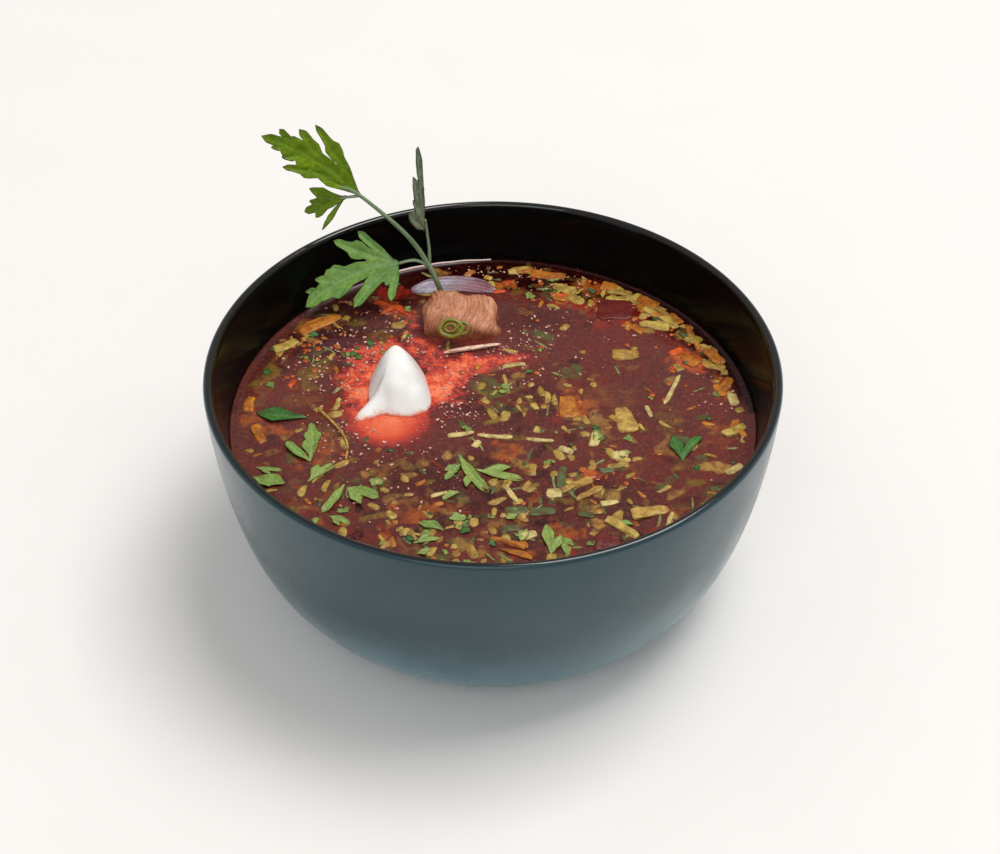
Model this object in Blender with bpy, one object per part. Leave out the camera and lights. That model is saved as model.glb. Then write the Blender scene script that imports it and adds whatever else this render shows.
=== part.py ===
"""A bowl of borscht: a deep round stoneware bowl filled with beetroot broth.

In the broth stand a cube of beef with a scallion ring on it, a slice of onion, a dollop of
sour cream and a sprig of parsley. Pieces of vegetable and loose parsley leaves float round
them. The origin is on the bowl's axis at the table, +Z is up and -Y is the front.
Lengths are in millimetres and become metres when a mesh is made.
"""

import math

import bmesh
import bpy
from mathutils import Matrix, Vector, geometry, noise

MM = 0.001
GAP = 0.3  # clearance between pieces that touch

# ---- driving dimensions ----
RIM_RADIUS = 80.0
BOWL_HEIGHT = 71.0
RIM_THICKNESS = 2.4
WALL_THICKNESS = 4.3
THICKENING_DEPTH = 22.0  # below the rim, the wall has its full thickness from here down
BELLY_RADIUS = 38.0  # where the belly's curve starts, on top of the foot
BELLY_FULLNESS = 4.4  # exponents of the belly's superellipse, sideways and upwards
BELLY_RISE = 1.5
FOOT_HEIGHT = 4.0
FOOT_RADIUS = 37.0
FOOT_WIDTH = 5.0
FOOT_RECESS = 2.0
ROUND_SEGMENTS = 56
BELLY_POINTS = 9
BROTH_SEGMENTS = 44

BROTH_LEVEL = 52.0
POCKET_DEPTH = 1.3  # how far a floating piece sits below the broth's surface

LEAF_THICKNESS = 0.6
STEM_RADIUS = 0.9
STEM_SIDES = 8

SEED = 11
NOISE_SEED = 1795135983  # until it is seeded, noise_vector differs from run to run
noise.seed_set(NOISE_SEED)


# ---- objects and materials ----
def clear_scene():
    for item in list(bpy.data.objects):
        bpy.data.objects.remove(item, do_unlink=True)


def make_material(name, colour, roughness):
    material = bpy.data.materials.new(name)
    material.use_nodes = True
    shader = material.node_tree.nodes["Principled BSDF"]
    shader.inputs["Base Color"].default_value = (*colour, 1.0)
    shader.inputs["Roughness"].default_value = roughness
    shader.inputs["Metallic"].default_value = 0.0
    return material


def add_object(name, shape, material=None, smooth_angle=40.0):
    """Turn a bmesh in millimetres into an object in metres."""
    bmesh.ops.scale(shape, vec=(MM, MM, MM), verts=shape.verts)
    mesh = bpy.data.meshes.new(name)
    shape.to_mesh(mesh)
    shape.free()
    mesh.shade_smooth()
    mesh.set_sharp_from_angle(angle=math.radians(smooth_angle))
    item = bpy.data.objects.new(name, mesh)
    bpy.context.scene.collection.objects.link(item)
    if material:
        mesh.materials.append(material)
    return item


def mark_as_tool(item):
    """A tool only shapes another object and isn't a piece itself."""
    item.hide_render = True
    item.display_type = "WIRE"


def combine(target, tool, operation):
    mark_as_tool(tool)
    boolean = target.modifiers.new(tool.name, "BOOLEAN")
    boolean.operation = operation
    boolean.solver = "EXACT"
    boolean.object = tool


# ---- the bowl and the broth, turned round the axis ----
def belly_point(turn):
    """A point of the outer wall: turn 0 is on the foot, turn 90 degrees is at the rim."""
    out = math.sin(turn) ** (2.0 / BELLY_FULLNESS)
    left_to_rise = max(math.cos(turn), 0.0) ** (2.0 / BELLY_RISE)
    radius = BELLY_RADIUS + (RIM_RADIUS - BELLY_RADIUS) * out
    height = FOOT_HEIGHT + (BOWL_HEIGHT - FOOT_HEIGHT) * (1.0 - left_to_rise)
    return Vector((radius, height))


def belly_inward(turn):
    """The unit direction from the outer wall towards the inside of the bowl."""
    step = 0.002
    low = belly_point(max(turn - step, 0.0))
    high = belly_point(min(turn + step, math.pi / 2))
    along = (high - low).normalized()
    return Vector((-along.y, along.x))


def wall_thickness(height):
    down = min((BOWL_HEIGHT - height) / THICKENING_DEPTH, 1.0)
    return RIM_THICKNESS + (WALL_THICKNESS - RIM_THICKNESS) * math.sin(down * math.pi / 2)


def belly_turns():
    """Even steps along the outer wall, from just above the foot to just below the lip."""
    first, last = math.radians(1.5), math.radians(86.0)
    return [first + (last - first) * i / (BELLY_POINTS - 1) for i in range(BELLY_POINTS)]


def inner_wall(extra=0.0):
    """Points of the inner wall from the floor up, moved inwards by extra."""
    points = []
    for turn in belly_turns():
        outer = belly_point(turn)
        points.append(outer + belly_inward(turn) * (wall_thickness(outer.y) + extra))
    return points


def lip():
    """The rounded rim, from its inner side over the top to its outer side."""
    round_radius = RIM_THICKNESS / 2
    centre = Vector((RIM_RADIUS - round_radius, BOWL_HEIGHT - round_radius))
    steps = 4
    return [
        centre + round_radius * Vector((-math.cos(math.pi * i / steps), math.sin(math.pi * i / steps)))
        for i in range(steps + 1)
    ]


def foot():
    """The foot ring and the recess under the bowl, from outside to the axis."""
    inner = FOOT_RADIUS - FOOT_WIDTH
    return [
        Vector((FOOT_RADIUS + 0.4, FOOT_HEIGHT)),
        Vector((FOOT_RADIUS, 0.8)),
        Vector((FOOT_RADIUS - 0.8, 0.0)),
        Vector((inner + 0.8, 0.0)),
        Vector((inner, 0.8)),
        Vector((inner - 1.0, FOOT_RECESS)),
        Vector((0.0, FOOT_RECESS)),
    ]


def turned(name, outline, segments, material):
    """Sweep an outline of (radius, height) points once round the axis."""
    shape = bmesh.new()
    verts = [shape.verts.new((point.x, 0.0, point.y)) for point in outline]
    for start, end in zip(verts, verts[1:]):
        shape.edges.new((start, end))
    item = add_object(name, shape, material)
    screw = item.modifiers.new("Turn", "SCREW")
    screw.steps = segments
    screw.render_steps = segments
    screw.use_merge_vertices = True
    screw.merge_threshold = 0.00001
    screw.use_smooth_shade = True
    return item


def make_bowl():
    inside = inner_wall()
    floor = Vector((0.0, inside[0].y))
    outside = [belly_point(turn) for turn in reversed(belly_turns())]
    outline = [floor] + inside + lip() + outside + foot()
    glaze = make_material("Slate and black glaze", (0.045, 0.060, 0.065), 0.22)
    return turned("bowl", outline, ROUND_SEGMENTS, glaze)


def make_broth():
    """The broth fills the bowl up to its level, a gap away from the wall."""
    wall = inner_wall(GAP)
    below = [point for point in wall if point.y < BROTH_LEVEL]
    above = wall[len(below)]
    share = (BROTH_LEVEL - below[-1].y) / (above.y - below[-1].y)
    edge = below[-1].lerp(above, share)
    outline = [Vector((0.0, BROTH_LEVEL)), edge] + below[::-1] + [Vector((0.0, below[0].y))]
    broth = make_material("Beetroot broth", (0.150, 0.042, 0.026), 0.12)
    return turned("soup", outline, BROTH_SEGMENTS, broth)


# ---- chunks of vegetable ----
def slab(size, taper=0.0, grow=0.0):
    """A block with eased edges whose +X end is narrower by taper, from 0 to 1."""
    shape = bmesh.new()
    bmesh.ops.create_cube(shape, size=1.0)
    for vert in shape.verts:
        narrowing = 1.0 - taper * (vert.co.x + 0.5)
        vert.co.x *= size[0] + 2 * grow
        vert.co.y *= (size[1] * narrowing) + 2 * grow
        vert.co.z *= size[2] + 2 * grow
    ease = 0.22 * min(size[1] * (1.0 - taper), size[2])
    bmesh.ops.bevel(shape, geom=shape.edges[:], offset=ease, segments=1, affect="EDGES")
    return shape


def disc(radius, thickness, grow=0.0):
    """A round slice with eased edges."""
    shape = bmesh.new()
    reach = radius + grow
    bmesh.ops.create_cone(
        shape, cap_ends=True, segments=18, radius1=reach, radius2=reach, depth=thickness + 2 * grow
    )
    caps = [face for face in shape.faces if len(face.verts) > 4]
    rims = list({edge for face in caps for edge in face.edges})
    bmesh.ops.bevel(shape, geom=rims, offset=0.3 * thickness, segments=1, affect="EDGES")
    return shape


def place(shape, spot, turn, tilt=0.0, height=BROTH_LEVEL):
    """Lean a shape about its length, turn it and put it at spot, all angles in degrees."""
    where = Matrix.Translation((spot[0], spot[1], height))
    turning = Matrix.Rotation(math.radians(turn), 4, "Z")
    leaning = Matrix.Rotation(math.radians(tilt), 4, "X")
    bmesh.ops.transform(shape, matrix=where @ turning @ leaning, verts=shape.verts)
    return shape


def float_chunk(broth, name, material, build, spot, turn, tilt, thickness):
    """Set a chunk into the surface and cut its pocket, a little larger, out of the broth."""
    height = BROTH_LEVEL + thickness / 2 - POCKET_DEPTH
    chunk = add_object(name, place(build(0.0), spot, turn, tilt, height), material)
    pocket = add_object(name + ".pocket", place(build(GAP), spot, turn, tilt, height))
    combine(broth, pocket, "DIFFERENCE")
    return chunk


def make_chunks(broth):
    carrot = make_material("Cooked carrot", (0.42, 0.13, 0.030), 0.35)
    potato = make_material("Cooked potato", (0.42, 0.29, 0.085), 0.40)
    cabbage = make_material("Cooked cabbage", (0.38, 0.36, 0.130), 0.35)
    beetroot = make_material("Cooked beetroot", (0.10, 0.012, 0.010), 0.25)
    # name: material, middle (x, y), turn, lean, (length, width, thickness), taper
    slabs = {
        "carrot_strip_back": (carrot, (17, 66), -6, 10, (11, 4.0, 2.4), 0.15),
        "carrot_slice_back_left": (carrot, (-52, 42.5), 34, -8, (14, 5.5, 2.4), 0.30),
        "cabbage_piece_left": (cabbage, (-61, 31.5), 32, 6, (8, 4.0, 2.2), 0.20),
        "carrot_chunk_left": (carrot, (-69.6, 4.5), 86, 0, (6.5, 3.6, 2.6), 0.10),
        "carrot_strip_left": (carrot, (-65.5, -8.5), -65, 8, (8, 3.0, 2.2), 0.20),
        "potato_piece_right": (potato, (39, 27), -3, 5, (8, 5.5, 2.2), 0.10),
        "carrot_piece_back_a": (carrot, (36, 60.2), -20, 6, (5.5, 4.5, 2.4), 0.20),
        "carrot_piece_back_b": (carrot, (47, 52.5), -42, 6, (7.5, 4.5, 2.4), 0.25),
        "cabbage_piece_back": (cabbage, (48.5, 41), -12, 8, (9, 4.0, 2.4), 0.20),
        "cabbage_chunk_right": (cabbage, (59.5, 34.5), -30, 6, (5, 4.2, 2.4), 0.10),
        "carrot_piece_right_a": (carrot, (64.8, 26.5), -64, -6, (9.5, 3.6, 2.4), 0.20),
        "carrot_piece_right_b": (carrot, (57.6, 24.5), -50, 6, (7, 4.5, 2.4), 0.30),
        "carrot_wedge_middle": (carrot, (21, 3.5), 95, 5, (9, 6.0, 2.2), 0.70),
        "potato_chunk_middle": (potato, (37, -2), 100, -5, (11, 6.0, 2.4), 0.30),
        "potato_stick_front_a": (potato, (22.5, -29.3), 28, 6, (10, 2.4, 2.2), 0.10),
        "potato_stick_front_b": (potato, (26.0, -32.6), 31, -4, (9, 2.2, 2.2), 0.10),
        "potato_slab_front": (potato, (42, -39.5), 15, -6, (10.5, 5.0, 2.4), 0.15),
        "cabbage_strip_front": (cabbage, (34.5, -46), -42, 5, (11, 2.8, 2.0), 0.15),
        "carrot_stick_front_a": (carrot, (4.0, -51.5), -20, 6, (10, 2.0, 2.2), 0.10),
        "carrot_stick_front_b": (carrot, (6.2, -55.7), -22, -5, (9, 2.0, 2.2), 0.10),
    }
    for name, (material, spot, turn, tilt, size, taper) in slabs.items():
        float_chunk(broth, name, material, lambda g: slab(size, taper, g), spot, turn, tilt, size[2])
    # name: middle (x, y), lean, radius
    slices = {
        "beetroot_slice_back": ((37, 49), 6, 5.4),
        "beetroot_slice_front": ((30, -51.5), -5, 3.4),
    }
    for name, (spot, tilt, radius) in slices.items():
        float_chunk(broth, name, beetroot, lambda g: disc(radius, 2.2, g), spot, 0, tilt, 2.2)


# ---- onion, beef, scallion and the pale shred in front of the beef ----
def make_onion(broth):
    """A slice of onion, a broad bent strip that lies round the back of the beef."""

    def bent_strip(grow):
        shape = bmesh.new()
        half_length, half_width, half_height = 13.2 + grow, 3.8 + grow, 1.1 + grow
        steps = 10
        rows = []
        for i in range(steps + 1):
            along = -1.0 + 2.0 * i / steps
            width = half_width * (1.0 - 0.45 * along**4)
            bend = -2.6 * along * along
            corners = ((-width, -1), (width, -1), (width, 1), (-width, 1))
            rows.append(
                [shape.verts.new((along * half_length, y + bend, z * half_height)) for y, z in corners]
            )
        for low, high in zip(rows, rows[1:]):
            for j in range(4):
                k = (j + 1) % 4
                shape.faces.new((low[j], low[k], high[k], high[j]))
        shape.faces.new(rows[0])
        shape.faces.new(rows[-1][::-1])
        bmesh.ops.recalc_face_normals(shape, faces=shape.faces)
        return shape

    onion = make_material("Onion stained by beetroot", (0.33, 0.27, 0.33), 0.30)
    float_chunk(broth, "onion_slice", onion, bent_strip, (-12.0, 61.5), 0, 0, 2.2)


def make_beef(broth):
    """A cube of boiled beef with pulled, uneven sides, half under the surface."""
    middle = Vector((-9.4, 41.5, 50.5))
    size = Vector((25.5, 17.0, 17.0))

    def cube(grow):
        shape = bmesh.new()
        bmesh.ops.create_cube(shape, size=1.0)
        bmesh.ops.subdivide_edges(shape, edges=shape.edges, cuts=3, use_grid_fill=True)
        for vert in shape.verts:
            unit = vert.co * 2.0
            rounding = 1.0 - 0.10 * (unit.length_squared - 1.0) / 2.0
            top = 0.5 + vert.co.z
            vert.co *= rounding
            vert.co.x *= 1.0 - 0.16 * top
            vert.co.y *= 1.0 - 0.10 * top
            uneven = noise.noise_vector(unit * 1.3 + Vector((SEED, 0, 0))) * 0.055
            vert.co = (vert.co + uneven) * size
            vert.co *= 1.0 + 2 * grow / min(size)
            vert.co.z += 1.6 * unit.y * top - 1.2 * unit.x * top
        bmesh.ops.rotate(shape, verts=shape.verts, matrix=Matrix.Rotation(math.radians(-6), 3, "Z"))
        bmesh.ops.translate(shape, verts=shape.verts, vec=middle)
        return shape

    boiled = make_material("Boiled beef", (0.42, 0.185, 0.100), 0.45)
    add_object("beef_cube", cube(0.0), boiled, 60.0)
    combine(broth, add_object("beef_cube.pocket", cube(GAP)), "DIFFERENCE")


def make_scallion():
    """A thin ring cut from a scallion, lying against the front of the beef."""
    shape = bmesh.new()
    sides = 16
    inner_share = 0.62
    half_height = 0.8
    rings = []
    for share, height in ((1, -1), (1, 1), (inner_share, 1), (inner_share, -1)):
        ring = []
        for i in range(sides):
            angle = 2 * math.pi * i / sides
            ring.append(
                shape.verts.new(
                    (3.6 * share * math.cos(angle), 2.9 * share * math.sin(angle), half_height * height)
                )
            )
        rings.append(ring)
    for low, high in zip(rings, rings[1:] + rings[:1]):
        for i in range(sides):
            k = (i + 1) % sides
            shape.faces.new((low[i], low[k], high[k], high[i]))
    bmesh.ops.recalc_face_normals(shape, faces=shape.faces)
    lean = Matrix.Rotation(math.radians(38), 4, "X")
    bmesh.ops.transform(shape, matrix=Matrix.Translation((-12.3, 32.6, 57.6)) @ lean, verts=shape.verts)
    add_object("scallion_ring", shape, make_material("Scallion", (0.24, 0.20, 0.010), 0.30))


def make_shred():
    """A pale shred of cabbage on the surface along the front of the beef."""
    material = make_material("Pale cabbage shred", (0.84, 0.55, 0.42), 0.30)
    shape = slab((17.5, 1.3, 0.9))
    height = BROTH_LEVEL + GAP + 0.45
    add_object("cabbage_shred", place(shape, (-6.0, 29.6), 13.0, 0.0, height), material)


# ---- sour cream ----
def make_cream(broth):
    """A spoonful of sour cream: a leaning peak with a ridge that runs out into a tail."""
    middle = Vector((-27.0, 8.0))
    peak_height, sunk = 11.0, 2.0
    peak_offset = Vector((-1.0, 8.5))
    rings, sides = 7, 28
    core_radius = 8.4
    # three corners: direction in degrees, reach beyond the core, spread in radians
    corners = ((219, 5.6, 0.34), (-33, 3.6, 0.55), (94, 10.2, 0.60))

    def foot_point(angle, grow):
        reach = core_radius + grow
        for direction, further, spread in corners:
            away = angle - math.radians(direction)
            away = math.atan2(math.sin(away), math.cos(away))
            reach += further * math.exp(-((away / spread) ** 2))
        return Vector((reach * math.cos(angle), reach * math.sin(angle)))

    def dollop(grow):
        shape = bmesh.new()
        loops = []
        for ring in range(rings):
            share = 1.0 - ring / rings  # 1 at the foot, towards 0 at the peak
            lean = (1.0 - share) ** 1.5
            height = peak_height * (1.0 - share) ** 0.85
            loop = []
            for side in range(sides):
                angle = 2 * math.pi * side / sides
                spot = foot_point(angle, grow) * share**0.9 + peak_offset * lean
                hollow = math.sin(math.pi * share) * math.exp(-(((angle - math.pi) / 0.7) ** 2))
                spot *= 1.0 - 0.14 * hollow
                at = (middle.x + spot.x, middle.y + spot.y, BROTH_LEVEL + height)
                loop.append(shape.verts.new(at))
            loops.append(loop)
        peak = middle + peak_offset
        tip = shape.verts.new((peak.x, peak.y, BROTH_LEVEL + peak_height + grow))
        under = []
        for side in range(sides):
            spot = middle + foot_point(2 * math.pi * side / sides, grow) * 0.9
            under.append(shape.verts.new((spot.x, spot.y, BROTH_LEVEL - sunk - grow)))
        shape.faces.new(under[::-1])
        for low, high in zip([under] + loops, loops):
            for i in range(sides):
                k = (i + 1) % sides
                shape.faces.new((low[i], low[k], high[k], high[i]))
        for i in range(sides):
            shape.faces.new((loops[-1][i], loops[-1][(i + 1) % sides], tip))
        bmesh.ops.recalc_face_normals(shape, faces=shape.faces)
        return shape

    cream = make_material("Sour cream", (0.86, 0.84, 0.79), 0.35)
    add_object("sour_cream", dollop(0.0), cream, 70.0)
    combine(broth, add_object("sour_cream.pocket", dollop(GAP)), "DIFFERENCE")


# ---- parsley ----
def lobe_outline(direction, length, half_width, teeth):
    """One toothed lobe in the leaf's plane: out along one side, round the tip and back."""
    along = Vector((math.cos(direction), math.sin(direction)))
    across = Vector((-along.y, along.x))
    widest = 0.60

    def width_at(share):
        if share < widest:
            return half_width * (0.14 + 0.86 * (share / widest) ** 1.3)
        return half_width * ((1.0 - share) / (1.0 - widest)) ** 0.75

    first = 0.38
    step = (0.97 - first) / teeth
    side = [(0.0, width_at(0.0))]
    for i in range(teeth):
        notch = first + step * i
        tip = notch + 0.80 * step
        side.append((notch, 0.72 * width_at(notch)))
        side.append((tip, 1.12 * width_at(tip)))
    right = [along * (length * share) - across * width for share, width in side]
    left = [along * (length * share) + across * width for share, width in side]
    return right + [along * length] + left[::-1]


def leaf_sheet(lobes, teeth, cup, arch):
    """Lay the lobes over each other, merge them and bend the sheet.

    Each lobe is (direction in degrees, length, half width). The sheet starts at the origin
    and runs along +X; cup lifts its sides and arch lets its tip fall.
    """
    points, outlines = [], []
    for direction, length, half_width in lobes:
        outline = lobe_outline(math.radians(direction), length, half_width, teeth)
        outlines.append(list(range(len(points), len(points) + len(outline))))
        points.extend(outline)
    merged = geometry.delaunay_2d_cdt(points, [], outlines, 1, 0.02)
    shape = bmesh.new()
    verts = []
    for x, y in merged[0]:
        verts.append(shape.verts.new((x, y, cup * abs(y) - arch * x * x / lobes[0][1])))
    for triangle in merged[2]:
        shape.faces.new([verts[i] for i in triangle])
    loose = [vert for vert in shape.verts if not vert.link_faces]
    bmesh.ops.delete(shape, geom=loose, context="VERTS")
    bmesh.ops.recalc_face_normals(shape, faces=shape.faces)
    return shape


def make_leaf(name, material, base, heading, facing, lobes, teeth=2, cup=0.15, arch=0.1):
    """A leaf that starts at base, points along heading and turns its face to facing."""
    sheet = leaf_sheet(lobes, teeth, cup, arch)
    forward = Vector(heading).normalized()
    sideways = Vector(facing).cross(forward).normalized()
    upward = forward.cross(sideways)
    turning = Matrix((forward, sideways, upward)).transposed().to_4x4()
    matrix = Matrix.Translation(base) @ turning
    bmesh.ops.transform(sheet, matrix=matrix, verts=sheet.verts)
    item = add_object(name, sheet, material)
    thick = item.modifiers.new("Thickness", "SOLIDIFY")
    thick.thickness = LEAF_THICKNESS * MM
    thick.offset = 0.0
    return item


def make_stem(name, material, route, start_radius, end_radius):
    """A round tapering stem through the points of its route."""
    route = [Vector(point) for point in route]
    shape = bmesh.new()
    rings = []
    for i, point in enumerate(route):
        after = route[min(i + 1, len(route) - 1)]
        before = route[max(i - 1, 0)]
        along = (after - before).normalized()
        across = along.cross(Vector((0, 1, 0))).normalized()
        around = along.cross(across)
        share = i / (len(route) - 1)
        radius = start_radius + (end_radius - start_radius) * share
        ring = []
        for side in range(STEM_SIDES):
            angle = 2 * math.pi * (side + 0.5) / STEM_SIDES
            ring.append(
                shape.verts.new(point + radius * (across * math.cos(angle) + around * math.sin(angle)))
            )
        rings.append(ring)
    for low, high in zip(rings, rings[1:]):
        for i in range(STEM_SIDES):
            k = (i + 1) % STEM_SIDES
            shape.faces.new((low[i], low[k], high[k], high[i]))
    shape.faces.new(rings[0])
    shape.faces.new(rings[-1][::-1])
    bmesh.ops.recalc_face_normals(shape, faces=shape.faces)
    return add_object(name, shape, material)


def make_sprig(broth):
    """A sprig of four leaves on one stem that stands in the broth behind the beef."""
    green = make_material("Parsley", (0.16, 0.24, 0.030), 0.40)
    foot_spot = Vector((-14.2, 55.2, 49.0))
    fork_low = Vector((-19.2, 56.4, 62.6))
    bend = Vector((-26.2, 58.0, 73.5))
    fork_high = Vector((-39.4, 60.0, 86.0))
    stem = make_stem(
        "parsley_sprig", green, [foot_spot, fork_low, bend, fork_high], STEM_RADIUS, 0.7 * STEM_RADIUS
    )
    low_leaf = Vector((-28.6, 54.0, 66.3))
    side_leaf = Vector((-20.2, 57.6, 75.0))
    small_leaf = Vector((-43.4, 60.2, 85.6))
    stalks = (
        ("stalk_low", [fork_low, Vector((-24.0, 55.6, 65.6)), low_leaf + Vector((-1.0, -0.2, 0.0))]),
        ("stalk_side", [fork_low, Vector((-19.2, 57.2, 69.0)), side_leaf + Vector((0.0, 0.1, 1.0))]),
        ("stalk_small", [fork_high, small_leaf + Vector((-1.0, 0.0, -0.2))]),
    )
    for name, route in stalks:
        combine(stem, make_stem(name, green, route, 0.62 * STEM_RADIUS, 0.5 * STEM_RADIUS), "UNION")
    # name: base, heading, facing, lobes, teeth, cup, arch
    leaves = {
        "leaf_top": (
            fork_high, (-0.80, 0.0, 0.60), (-0.1, -0.80, 0.60),
            ((0, 34, 6.4), (15, 24, 2.8), (-27, 25, 3.6)), 3, 0.10, 0.03,
        ),
        "leaf_small": (
            small_leaf, (-0.93, -0.05, -0.36), (-0.1, -0.80, 0.60),
            ((0, 13.5, 3.2), (-28, 11.5, 2.8), (36, 12.5, 2.6)), 2, 0.10, 0.05,
        ),
        "leaf_low": (
            low_leaf, (-0.90, -0.32, -0.30), (-0.2, -0.62, 0.78),
            ((-2, 31, 6.2), (-52, 22, 5.4), (28, 20, 4.2), (50, 13, 3.2)), 3, 0.10, 0.05,
        ),
        "leaf_side": (
            side_leaf, (-0.05, 0.05, 1.0), (0.90, -0.43, 0.0),
            ((2, 27.5, 2.8), (42, 16, 2.8), (-9, 17, 1.8)), 2, 0.25, 0.03,
        ),
    }  # fmt: skip
    for name, (base, heading, facing, lobes, teeth, cup, arch) in leaves.items():
        leaf = make_leaf(name, green, base, heading, facing, lobes, teeth, cup, arch)
        combine(stem, leaf, "UNION")
    pocket = make_stem(
        "parsley_sprig.pocket", green, [foot_spot - Vector((0, 0, GAP)), fork_low],
        STEM_RADIUS + 2 * GAP, STEM_RADIUS + 2 * GAP,
    )  # fmt: skip
    combine(broth, pocket, "DIFFERENCE")


def make_loose_leaves():
    fresh = make_material("Floating parsley", (0.13, 0.20, 0.045), 0.35)
    pale = make_material("Cooked parsley", (0.25, 0.29, 0.085), 0.35)
    height = BROTH_LEVEL + GAP + 1.2
    three_lobes = ((0, 1.0, 0.22), (38, 0.72, 0.18), (-38, 0.72, 0.18))
    # name: material, base (x, y), turn, length
    leaves = {
        "parsley_leaf_left_dark": (fresh, (-53.5, -0.5), 178, 13.0),
        "parsley_leaf_left_light": (pale, (-49.0, -5.0), 248, 14.5),
        "parsley_leaf_middle": (pale, (-6.5, -21.5), -45, 15.5),
        "parsley_leaf_right": (fresh, (52.0, -10.5), -52, 12.0),
        "parsley_leaf_far_left": (pale, (-57.0, -23.0), 215, 10.0),
        "parsley_leaf_low_left": (pale, (-41.5, -30.0), 248, 11.0),
        "parsley_leaf_front_left": (pale, (-37.0, -29.0), -48, 9.5),
        "parsley_leaf_front": (pale, (13.5, -46.0), -84, 9.5),
        "parsley_leaf_front_dark": (fresh, (-8.5, -45.5), 205, 12.0),
    }
    for name, (material, spot, turn, length) in leaves.items():
        angle = math.radians(turn)
        heading = (math.cos(angle), math.sin(angle), 0.0)
        lobes = [(way, length * reach, length * width) for way, reach, width in three_lobes]
        make_leaf(name, material, (*spot, height), heading, (0, 0, 1), lobes, 2, 0.06, 0.05)


def main():
    clear_scene()
    make_bowl()
    broth = make_broth()
    make_chunks(broth)
    make_onion(broth)
    make_beef(broth)
    make_scallion()
    make_shred()
    make_cream(broth)
    make_sprig(broth)
    make_loose_leaves()


main()
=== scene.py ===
# %% [markdown]
# # A bowl of borscht
# This lesson dresses a CAD part as food. The CAD part is a fixed frame: a deep bowl, the broth
# up to its level and every large piece in it, each as a plain solid. Here each solid gets a
# finer shape and a finish, and the small things are added: crumbs of curd, drops of fat,
# flakes of herb and what floats half sunk. Lengths are in millimetres until a mesh is made.

# %% Open the CAD part
import math
import random

import bmesh
import bpy
import numpy as np
from mathutils import Matrix, Vector, geometry, noise


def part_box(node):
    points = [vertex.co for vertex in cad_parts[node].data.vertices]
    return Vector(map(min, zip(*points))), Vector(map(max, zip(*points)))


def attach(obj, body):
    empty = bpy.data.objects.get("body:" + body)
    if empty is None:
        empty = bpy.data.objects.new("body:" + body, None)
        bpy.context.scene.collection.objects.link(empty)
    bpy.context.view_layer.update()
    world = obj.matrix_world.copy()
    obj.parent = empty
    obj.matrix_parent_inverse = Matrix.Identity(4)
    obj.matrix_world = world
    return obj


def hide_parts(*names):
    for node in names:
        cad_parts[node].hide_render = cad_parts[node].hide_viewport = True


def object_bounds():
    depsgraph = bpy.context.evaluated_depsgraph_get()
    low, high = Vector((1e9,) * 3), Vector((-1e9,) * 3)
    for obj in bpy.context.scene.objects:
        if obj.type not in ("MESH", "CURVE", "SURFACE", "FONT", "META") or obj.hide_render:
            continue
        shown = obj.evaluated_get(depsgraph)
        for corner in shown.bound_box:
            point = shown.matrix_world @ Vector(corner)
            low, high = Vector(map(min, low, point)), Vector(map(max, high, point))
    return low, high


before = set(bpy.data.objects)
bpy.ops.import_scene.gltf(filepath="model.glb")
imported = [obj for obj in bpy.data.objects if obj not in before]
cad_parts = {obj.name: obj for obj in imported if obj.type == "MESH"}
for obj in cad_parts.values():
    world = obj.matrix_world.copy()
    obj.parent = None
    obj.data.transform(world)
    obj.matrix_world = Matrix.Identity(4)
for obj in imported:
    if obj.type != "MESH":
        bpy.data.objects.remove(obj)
cad_low, cad_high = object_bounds()
print("CAD nodes:", len(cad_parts), "size:", [round(v, 4) for v in cad_high - cad_low])

# %% Measures of the part
MM = 0.001
SEED = 11
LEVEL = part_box("soup")[1].z / MM
RIM_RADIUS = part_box("bowl")[1].x / MM
BOWL_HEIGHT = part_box("bowl")[1].z / MM
FLOAT_REACH = 71.0  # how far from the axis small things float
random.seed(SEED)
noise.seed_set(SEED)  # until it is seeded, noise_vector differs from run to run
print("broth level", round(LEVEL, 2), "rim radius", round(RIM_RADIUS, 2))

# %% [markdown]
# ## Camera, floor and light
# The bowl is seen from the height of a seated guest. A long lens keeps the rim's ellipse calm.
# The floor is one pale sheet that goes on past the horizon. One large soft lamp from the back
# right throws the shadow to the left; a dim even sky and a broad lamp in front fill it. The sky
# is also what the wet surface mirrors, apart from where it mirrors the black wall.

# %% Camera
EYE = Vector((0.0, -418.9, 410.1)) * MM
AIM = Vector((0.0, 0.0, 71.0)) * MM


def aim(item, target):
    item.rotation_mode = "QUATERNION"
    item.rotation_quaternion = (target - item.location).to_track_quat("-Z", "Y")


def add_camera():
    data = bpy.data.cameras.new("camera")
    data.lens = 70.0
    data.sensor_width = 36.0
    data.shift_x = 0.007
    data.shift_y = -0.0645
    item = bpy.data.objects.new("camera", data)
    bpy.context.scene.collection.objects.link(item)
    item.location = EYE
    aim(item, AIM)
    bpy.context.scene.camera = item


add_camera()
bpy.context.scene.view_settings.view_transform = "Standard"
bpy.context.scene.view_settings.look = "None"

# %% Lamps and sky


def add_lamp(name, place, size, watts, colour=(1.0, 1.0, 1.0), target=(0, 0, 50)):
    data = bpy.data.lights.new(name, "AREA")
    data.shape = "RECTANGLE"
    data.size, data.size_y = size
    data.energy = watts
    data.color = colour
    item = bpy.data.objects.new(name, data)
    bpy.context.scene.collection.objects.link(item)
    item.location = Vector(place) * MM
    aim(item, Vector(target) * MM)
    return item


add_lamp("key", (980, 380, 2950), (1.6, 1.6), 59.0, (1.0, 0.985, 0.965))
add_lamp("fill", (-400, -2300, 2000), (1.8, 1.8), 19.0, (0.96, 0.99, 1.0))


def add_sky(strength, colour):
    world = bpy.data.worlds.new("sky")
    world.use_nodes = True
    background = world.node_tree.nodes["Background"]
    background.inputs["Color"].default_value = (*colour, 1.0)
    background.inputs["Strength"].default_value = strength
    bpy.context.scene.world = world


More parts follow.
